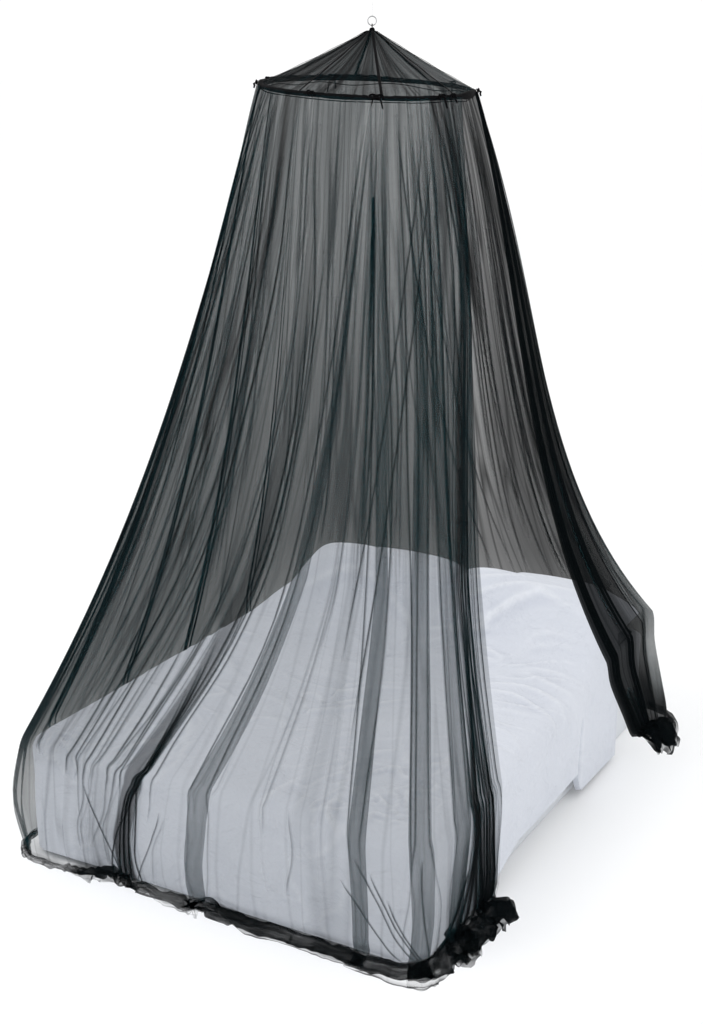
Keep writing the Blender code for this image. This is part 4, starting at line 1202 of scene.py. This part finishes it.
def ribbon_tie(number, degrees, left, right, spread):
    """One ribbon: an end hangs, rises to the knot on the binding, makes two small loops, and the
    other end hangs again."""
    angle = math.radians(degrees)
    outward = np.array([math.cos(angle), math.sin(angle), 0])
    across = np.array([-math.sin(angle), math.cos(angle), 0])
    face = BINDING_RADIUS + BINDING_THICKNESS / 2 + GAP
    knot = np.array(hoop_point(angle, face + 0.002, TIE_KNOT_RISE))
    loop = spread * 1.15

    def hanging(side, drop, share, apart):
        """A point of a hanging end, share of the way down it and that far apart from the other."""
        return side * spread * apart, TIE_OFF + TIE_FLARE * drop * share, -drop * share

    # Across, out and up from the knot
    path = np.array((
        hanging(-1, left, 1, 1), hanging(-1, left, 0.55, 0.8),
        (-spread * 0.5, 0.0165, -0.004), (-0.002, 0.005, 0.001),
        (loop * 0.6, 0.008, 0.005), (loop, 0.010, 0.001), (loop * 0.7, 0.010, -0.004),
        (0.000, 0.006, 0.000),
        (-loop * 0.7, 0.010, -0.004), (-loop, 0.010, 0.002), (-loop * 0.6, 0.008, 0.006),
        (0.002, 0.005, 0.001), (spread * 0.5, 0.0165, -0.004),
        hanging(1, right, 0.55, 0.8), hanging(1, right, 1, 1)))
    fine = between(path, np.linspace(0, len(path) - 1, TIE_STEPS))
    points = knot + fine[:, :1] * across + fine[:, 1:2] * outward + fine[:, 2:] * (0, 0, 1)
    twist = 0.7 * np.sin(np.linspace(0, 5, TIE_STEPS) + number)
    way_across = outward * np.cos(twist)[:, None] * 0.5 + (0, 0, 1) + across * np.sin(twist)[:, None]
    obj = ribbon(f"ribbon_tie_{number}", points, way_across, TIE_WIDTH)
    wrap = knot + outward * 0.0035
    turns = np.linspace(0, 4 * math.pi, 40)
    coil = (wrap + np.outer(np.cos(turns), (0, 0, 0.0042)) + np.outer(np.sin(turns), outward * 0.0035)
            + np.outer(np.linspace(-0.003, 0.003, 40), across))
    knot_part = closed_tube("knot_part", coil, 0.0016, 8)
    obj = join(f"ribbon_tie_{number}", [obj, knot_part])
    finish(obj, TAPE_FINISH, "black_tape", f"tie_{number}")


def upright_circle(way, radius, height, steps):
    """Points of an upright circle whose middle lies below the hook, its plane along the way."""
    turn = np.linspace(0, 2 * math.pi, steps, endpoint=False)
    return np.stack([way[0] * radius * np.cos(turn), way[1] * radius * np.cos(turn),
                     height + radius * np.sin(turn)], axis=-1)


def tip_loop():
    """The cone's tip gathered in a wrapped knot, and the loop of tape that the ring hangs in."""
    height = RING_HEIGHT - RING_RADIUS + RING_WIRE + GAP - (LOOP_RADIUS - LOOP_TAPE)
    loop = upright_circle((-RING_WAY[1], RING_WAY[0]), LOOP_RADIUS, height, 60)
    parts = [closed_tube("loop_part", loop, LOOP_TAPE, 12, around=True)]
    wraps = np.linspace(0, 2 * math.pi * KNOT_WRAPS, 200)
    down = np.linspace(0, 1, 200)
    wide = 0.0040 + 0.0030 * np.sin(math.pi * down)
    coil = np.stack([wide * np.cos(wraps), wide * np.sin(wraps),
                     height - LOOP_RADIUS * 0.9 - 0.0125 * down], axis=-1)
    parts.append(closed_tube("wrap_part", coil, 0.0021, 10))
    core = np.stack([0 * down, 0 * down, height - LOOP_RADIUS * 0.8 - 0.016 * down], axis=-1)[::10]
    parts.append(closed_tube("core_part", core, 0.0045, 12))
    return join("tip_knot", parts)


def ring():
    """The steel ring that the loop and the line pull on: a round wire bent in a full circle."""
    circle = upright_circle(RING_WAY, RING_RADIUS, RING_HEIGHT, 96)
    return closed_tube("steel_ring", circle, RING_WIRE, 16, around=True)


def crown_trim():
    """The crown's seams, binding, ties and tip, each in its place of the solids that it stands for."""
    seam_nodes = [f"crown_seam_{number + 1}" for number in range(CROWN_SEAMS)]
    finish(crown_seams(), TAPE_FINISH, "black_tape", *seam_nodes)
    finish(hoop_binding(), TAPE_FINISH, "black_tape", "hoop_binding")
    finish(tip_loop(), TAPE_FINISH, "black_tape", "top_loop")
    for number, row in enumerate(TIES, 1):
        ribbon_tie(number, *row)


# ---------------------------------------------------------------- bed

def mattress_top():
    """How high the mattress reaches, just below the duvet."""
    return BED_TOP - DUVET_THICKNESS - UNDER_DUVET


def pillow_centres():
    """Both pillows lie side by side at the head, the right one a little further out."""
    y = BED_FOOT_Y + BED_LENGTH - PILLOW_HALF[1] - 0.035
    return {name: (BED_CENTRE_X + x, y) for name, x in zip(("pillow_left", "pillow_right"), PILLOWS_X)}


def pillow_lift(x, y):
    """How far the duvet is raised where it rides up over the pillows: a soft mound over each."""
    lift = np.zeros_like(x)
    for centre_x, centre_y in pillow_centres().values():
        u = (x - centre_x) / (PILLOW_HALF[0] + 0.03)
        v = (y - centre_y) / (PILLOW_HALF[1] + 0.03)
        mound = 1 / ((1 + u**8) * (1 + v**8))
        lift = np.maximum(lift, (2 * PILLOW_HALF[2] + PILLOW_LIFT) * mound)
    return lift


def duvet_creases(a, b, sink):
    """How far the duvet's cloth stands out at each place of its flat cloth: soft swells from the
    filling, long creases that run across the bed and bend round its foot corners, and short ones
    that hang down the sides."""
    corner_x, corner_y = CREASES_BEND
    from_corner = np.hypot(np.abs(a) - corner_x, b - corner_y)
    turn = np.arctan2(b - corner_y, corner_x - np.abs(a))
    side = np.where(a > 0, 0.0, 9.0)
    arcs = ridges(from_corner * 10 + 1.6 * lattice(a * 4 + 7, b * 4, 1), turn * 2.5 + side, 2)
    fine = ridges(from_corner * 21 + 2.5 * lattice(a * 5, b * 5, 3), turn * 4.0 + side, 4)
    where = np.clip(1.8 * lattice(a * 3.1 + 20, b * 2.7, 5) - 0.45, 0, 1)
    swell = lattice(a * 3.2 + 5, b * 3.2, 6) + 0.5 * lattice(a * 7, b * 7 + 3, 7)
    hanging = np.clip(sink / 0.08, 0, 1)
    sides = lattice(np.where(np.abs(a) > 0.66, b, a) * 9, sink * 2, 8)
    top = 0.017 * arcs * where + 0.008 * fine * where + 0.017 * (swell - 0.75)
    top = top * np.clip((0.70 - np.abs(a)) / 0.12, 0.35, 1)
    split = np.exp(-((b - DUVET_SPLIT) / 0.009) ** 2) * np.clip((sink - 0.09) / 0.05, 0, 1) * (a > 0)
    return top * (1 - 0.7 * hanging) + hanging * 0.012 * (sides - 0.5) - 0.013 * split


# Painted shade: the cotton's colour is darkened where this is low, in the sinks of the creases
def painted_crease_shade(raised):
    """How far each point stands above (over 0.5) or below its neighbourhood, from 0 to 1."""
    near = raised
    for _ in range(3):
        near = sum(np.roll(near, step, axis) for axis in (0, 1) for step in (-1, 0, 1)) / 6
    return np.clip(0.5 + (raised - near) / 0.005, 0, 1)


def duvet():
    """A grid cut flat and laid on the bed: what lies past the inner rectangle rolls over the
    bed's shoulder and then hangs straight, at the corners too, where the way past it is the
    larger of the two ways across and along.  Creases then stand out along its normal."""
    quarter = SHOULDER_RADIUS * math.pi / 2
    drop = quarter + BED_TOP - SHOULDER_RADIUS - DUVET_HEM
    inner = BED_WIDTH / 2 - CORNER_RADIUS
    flat = CORNER_RADIUS - SHOULDER_RADIUS
    past = flat + drop
    across = np.linspace(-inner - past, inner + past, DUVET_GRID[0])
    foot, head = BED_FOOT_Y + CORNER_RADIUS, DUVET_HEAD_Y
    along = np.linspace(foot - past, head, DUVET_GRID[1])
    a, b = np.meshgrid(across, along)
    in_x, in_y = np.clip(a, -inner, inner), np.clip(b, foot, None)
    way_x, way_y = a - in_x, b - in_y
    length = np.hypot(way_x, way_y)
    further = np.maximum(np.abs(way_x), np.abs(way_y))
    turn = np.clip((further - flat) / SHOULDER_RADIUS, 0, math.pi / 2)
    reach = np.minimum(further, flat) + SHOULDER_RADIUS * np.sin(turn)
    right = np.clip(np.where(length > 0, way_x / np.where(length > 0, length, 1), 0) * 1.6 - 0.5, 0, 1)
    hem = np.interp(b, *zip(*DUVET_SIDE_HEM))
    shorter = 1 - right * (hem - DUVET_HEM) / (BED_TOP - SHOULDER_RADIUS - DUVET_HEM)
    sink = (SHOULDER_RADIUS * (1 - np.cos(turn))
            + np.clip(further - flat - quarter, 0, None) * shorter)
    per_length = np.where(length > 0, 1 / np.where(length > 0, length, 1), 0)
    x = BED_CENTRE_X + in_x + way_x * per_length * reach
    y = in_y + way_y * per_length * reach
    crown = DUVET_CROWN * (1 - (in_x / inner) ** 2) * np.clip((y - foot) / 0.3, 0, 1)
    z = BED_TOP - sink + crown + pillow_lift(x, y) * np.clip(1 - sink / 0.06, 0, 1)
    points = np.stack([x, y, z], axis=-1)
    normal = unit(np.cross(np.gradient(points, axis=1), np.gradient(points, axis=0)))
    rim = np.minimum(np.minimum(across - across[0], across[-1] - across)[None, :],
                     np.minimum(along - along[0], along[-1] - along)[:, None])
    raised = duvet_creases(a, b, sink) * np.clip(rim / 0.03, 0.3, 1)
    seam = np.exp(-((rim - 0.012) / 0.004) ** 2)
    points = points + normal * (raised - 0.0025 * seam)[:, :, None]
    obj = surface("duvet_cover", points, flat=np.stack([a, b], axis=-1))
    # Painted shade for the cotton: darker where the creases sink
    put(obj.data, "crease_shade", painted_crease_shade(raised))
    thick = obj.modifiers.new("filling", "SOLIDIFY")
    thick.thickness = DUVET_THICKNESS
    thick.offset = -1.0
    round_rim = obj.modifiers.new("round rim", "BEVEL")
    round_rim.width = 0.006
    round_rim.segments = 3
    round_rim.limit_method = "ANGLE"
    round_rim.angle_limit = math.radians(60)
    finish(obj, COTTON_FINISH, "white_cotton", "duvet")
    round(2 * (inner + past), 2)
    round(head - foot + past, 2)


def pillow(name, centre):
    """A filled case: a sphere pressed into a fat rectangle, thin at its four corners, with sides
    drawn in between them, short creases that run in from the corners, and a seam round it."""
    turn, tilt = np.meshgrid(np.linspace(0, 2 * math.pi, 160, endpoint=False),
                             np.linspace(math.pi, 0, 80))
    unit_x, unit_y, unit_z = np.sin(tilt) * np.cos(turn), np.sin(tilt) * np.sin(turn), np.cos(tilt)
    flat = np.hypot(unit_x, unit_y) + 1e-9
    square = flat / np.maximum(np.abs(unit_x), np.abs(unit_y)).clip(1e-9)
    u, v = np.clip(unit_x * square**0.8, -1, 1), np.clip(unit_y * square**0.8, -1, 1)
    half_x, half_y, half_z = PILLOW_HALF
    x = half_x * u * (1 - 0.06 * (1 - v**2))
    y = half_y * v * (1 - 0.08 * (1 - u**2))
    fat = np.sqrt(np.clip((1 - 0.96 * u**4) * (1 - 0.96 * v**4), 0, 1))
    rim, flat_below = 0.6, 0.85
    level = np.maximum(unit_z, -flat_below)
    rise = np.where(level > 0, 2 - rim, rim / flat_below)
    from_corner = np.hypot(1 - np.abs(u), 1 - np.abs(v))
    spread = np.arctan2(1 - np.abs(v), 1 - np.abs(u))
    pulls = ridges(spread * 6 + 3 * np.sign(u), from_corner * 2 + np.sign(v), 21)
    crease = 0.005 * pulls * np.exp(-((from_corner - 0.35) / 0.35) ** 2)
    swell = 0.006 * (lattice(u * 2.5 + 9, v * 2.5, 22) - 0.6)
    z = (half_z * (rim + level * rise * (0.35 + 0.65 * fat))
         + (swell - crease) * np.clip(level * 3, 0, 1))
    points = np.stack([centre[0] + x, centre[1] + y, mattress_top() + GAP + z], axis=-1)
    obj = surface(name.replace("pillow", "pillow_case"), points, around=True)
    close_poles(obj)
    # The painted crease shade is even over the pillows, at its middle
    put(obj.data, "crease_shade", np.full(len(obj.data.vertices), 0.5))
    finish(obj, COTTON_FINISH, "white_cotton", name)


def mattress():
    """A rounded block: its rounded outline is carried up the side and in over top and bottom,
    with a piped edge near both."""
    side = DUVET_THICKNESS + 0.009
    low, high = BASE_HEIGHT + GAP, mattress_top()
    around = np.linspace(-BED_LENGTH, 2 * BED_WIDTH + BED_LENGTH, 240, endpoint=False)
    edge_x, edge_y = edge_point(around, -side)
    middle_y = BED_FOOT_Y + BED_LENGTH / 2
    roll = 0.030

    def rolled(degrees, middle):
        """Points of a rounded edge: share of the way out, and height."""
        return [(1 - (roll - roll * math.cos(turn)) / 0.7, middle + roll * math.sin(turn))
                for turn in np.radians(degrees)]

    rows = [(0.01, low), (0.6, low), (0.93, low), *rolled((-90, -60, -30, 0), low + roll),
            (0.999, (low + high) / 2), *rolled((0, 30, 60, 90), high - roll),
            (0.93, high), (0.6, high), (0.01, high)]
    fine = between(np.array(rows, float), np.linspace(0, len(rows) - 1, 60))
    share, level = fine[:, 0][:, None], np.clip(fine[:, 1], low, high)[:, None]
    half_way_up = (low + high) / 2
    quilt = (0.0015 * np.sin(around * 40)[None, :]
             * np.clip(1 - np.abs(level - half_way_up) / 0.08, 0, 1))
    x = BED_CENTRE_X + (edge_x - BED_CENTRE_X)[None, :] * (share - quilt.clip(0))
    y = middle_y + (edge_y - middle_y)[None, :] * (share - quilt.clip(0))
    obj = surface("mattress_pad", np.stack([x, y, level + 0 * x], axis=-1), around=True)
    close_poles(obj)
    finish(obj, COVER_FINISH, "mattress_cloth", "mattress")


duvet()
for pillow_name, pillow_centre in pillow_centres().items():
    pillow(pillow_name, pillow_centre)
mattress()
crown()
crown_trim()
finish(ring(), STEEL_FINISH, "steel", "top_ring")
for node in ("ceiling_hook", "ceiling_plate"):
    paint_node(node, STEEL_FINISH)
paint_node("hoop", ROD_FINISH)
paint_node("bed_base", COVER_FINISH)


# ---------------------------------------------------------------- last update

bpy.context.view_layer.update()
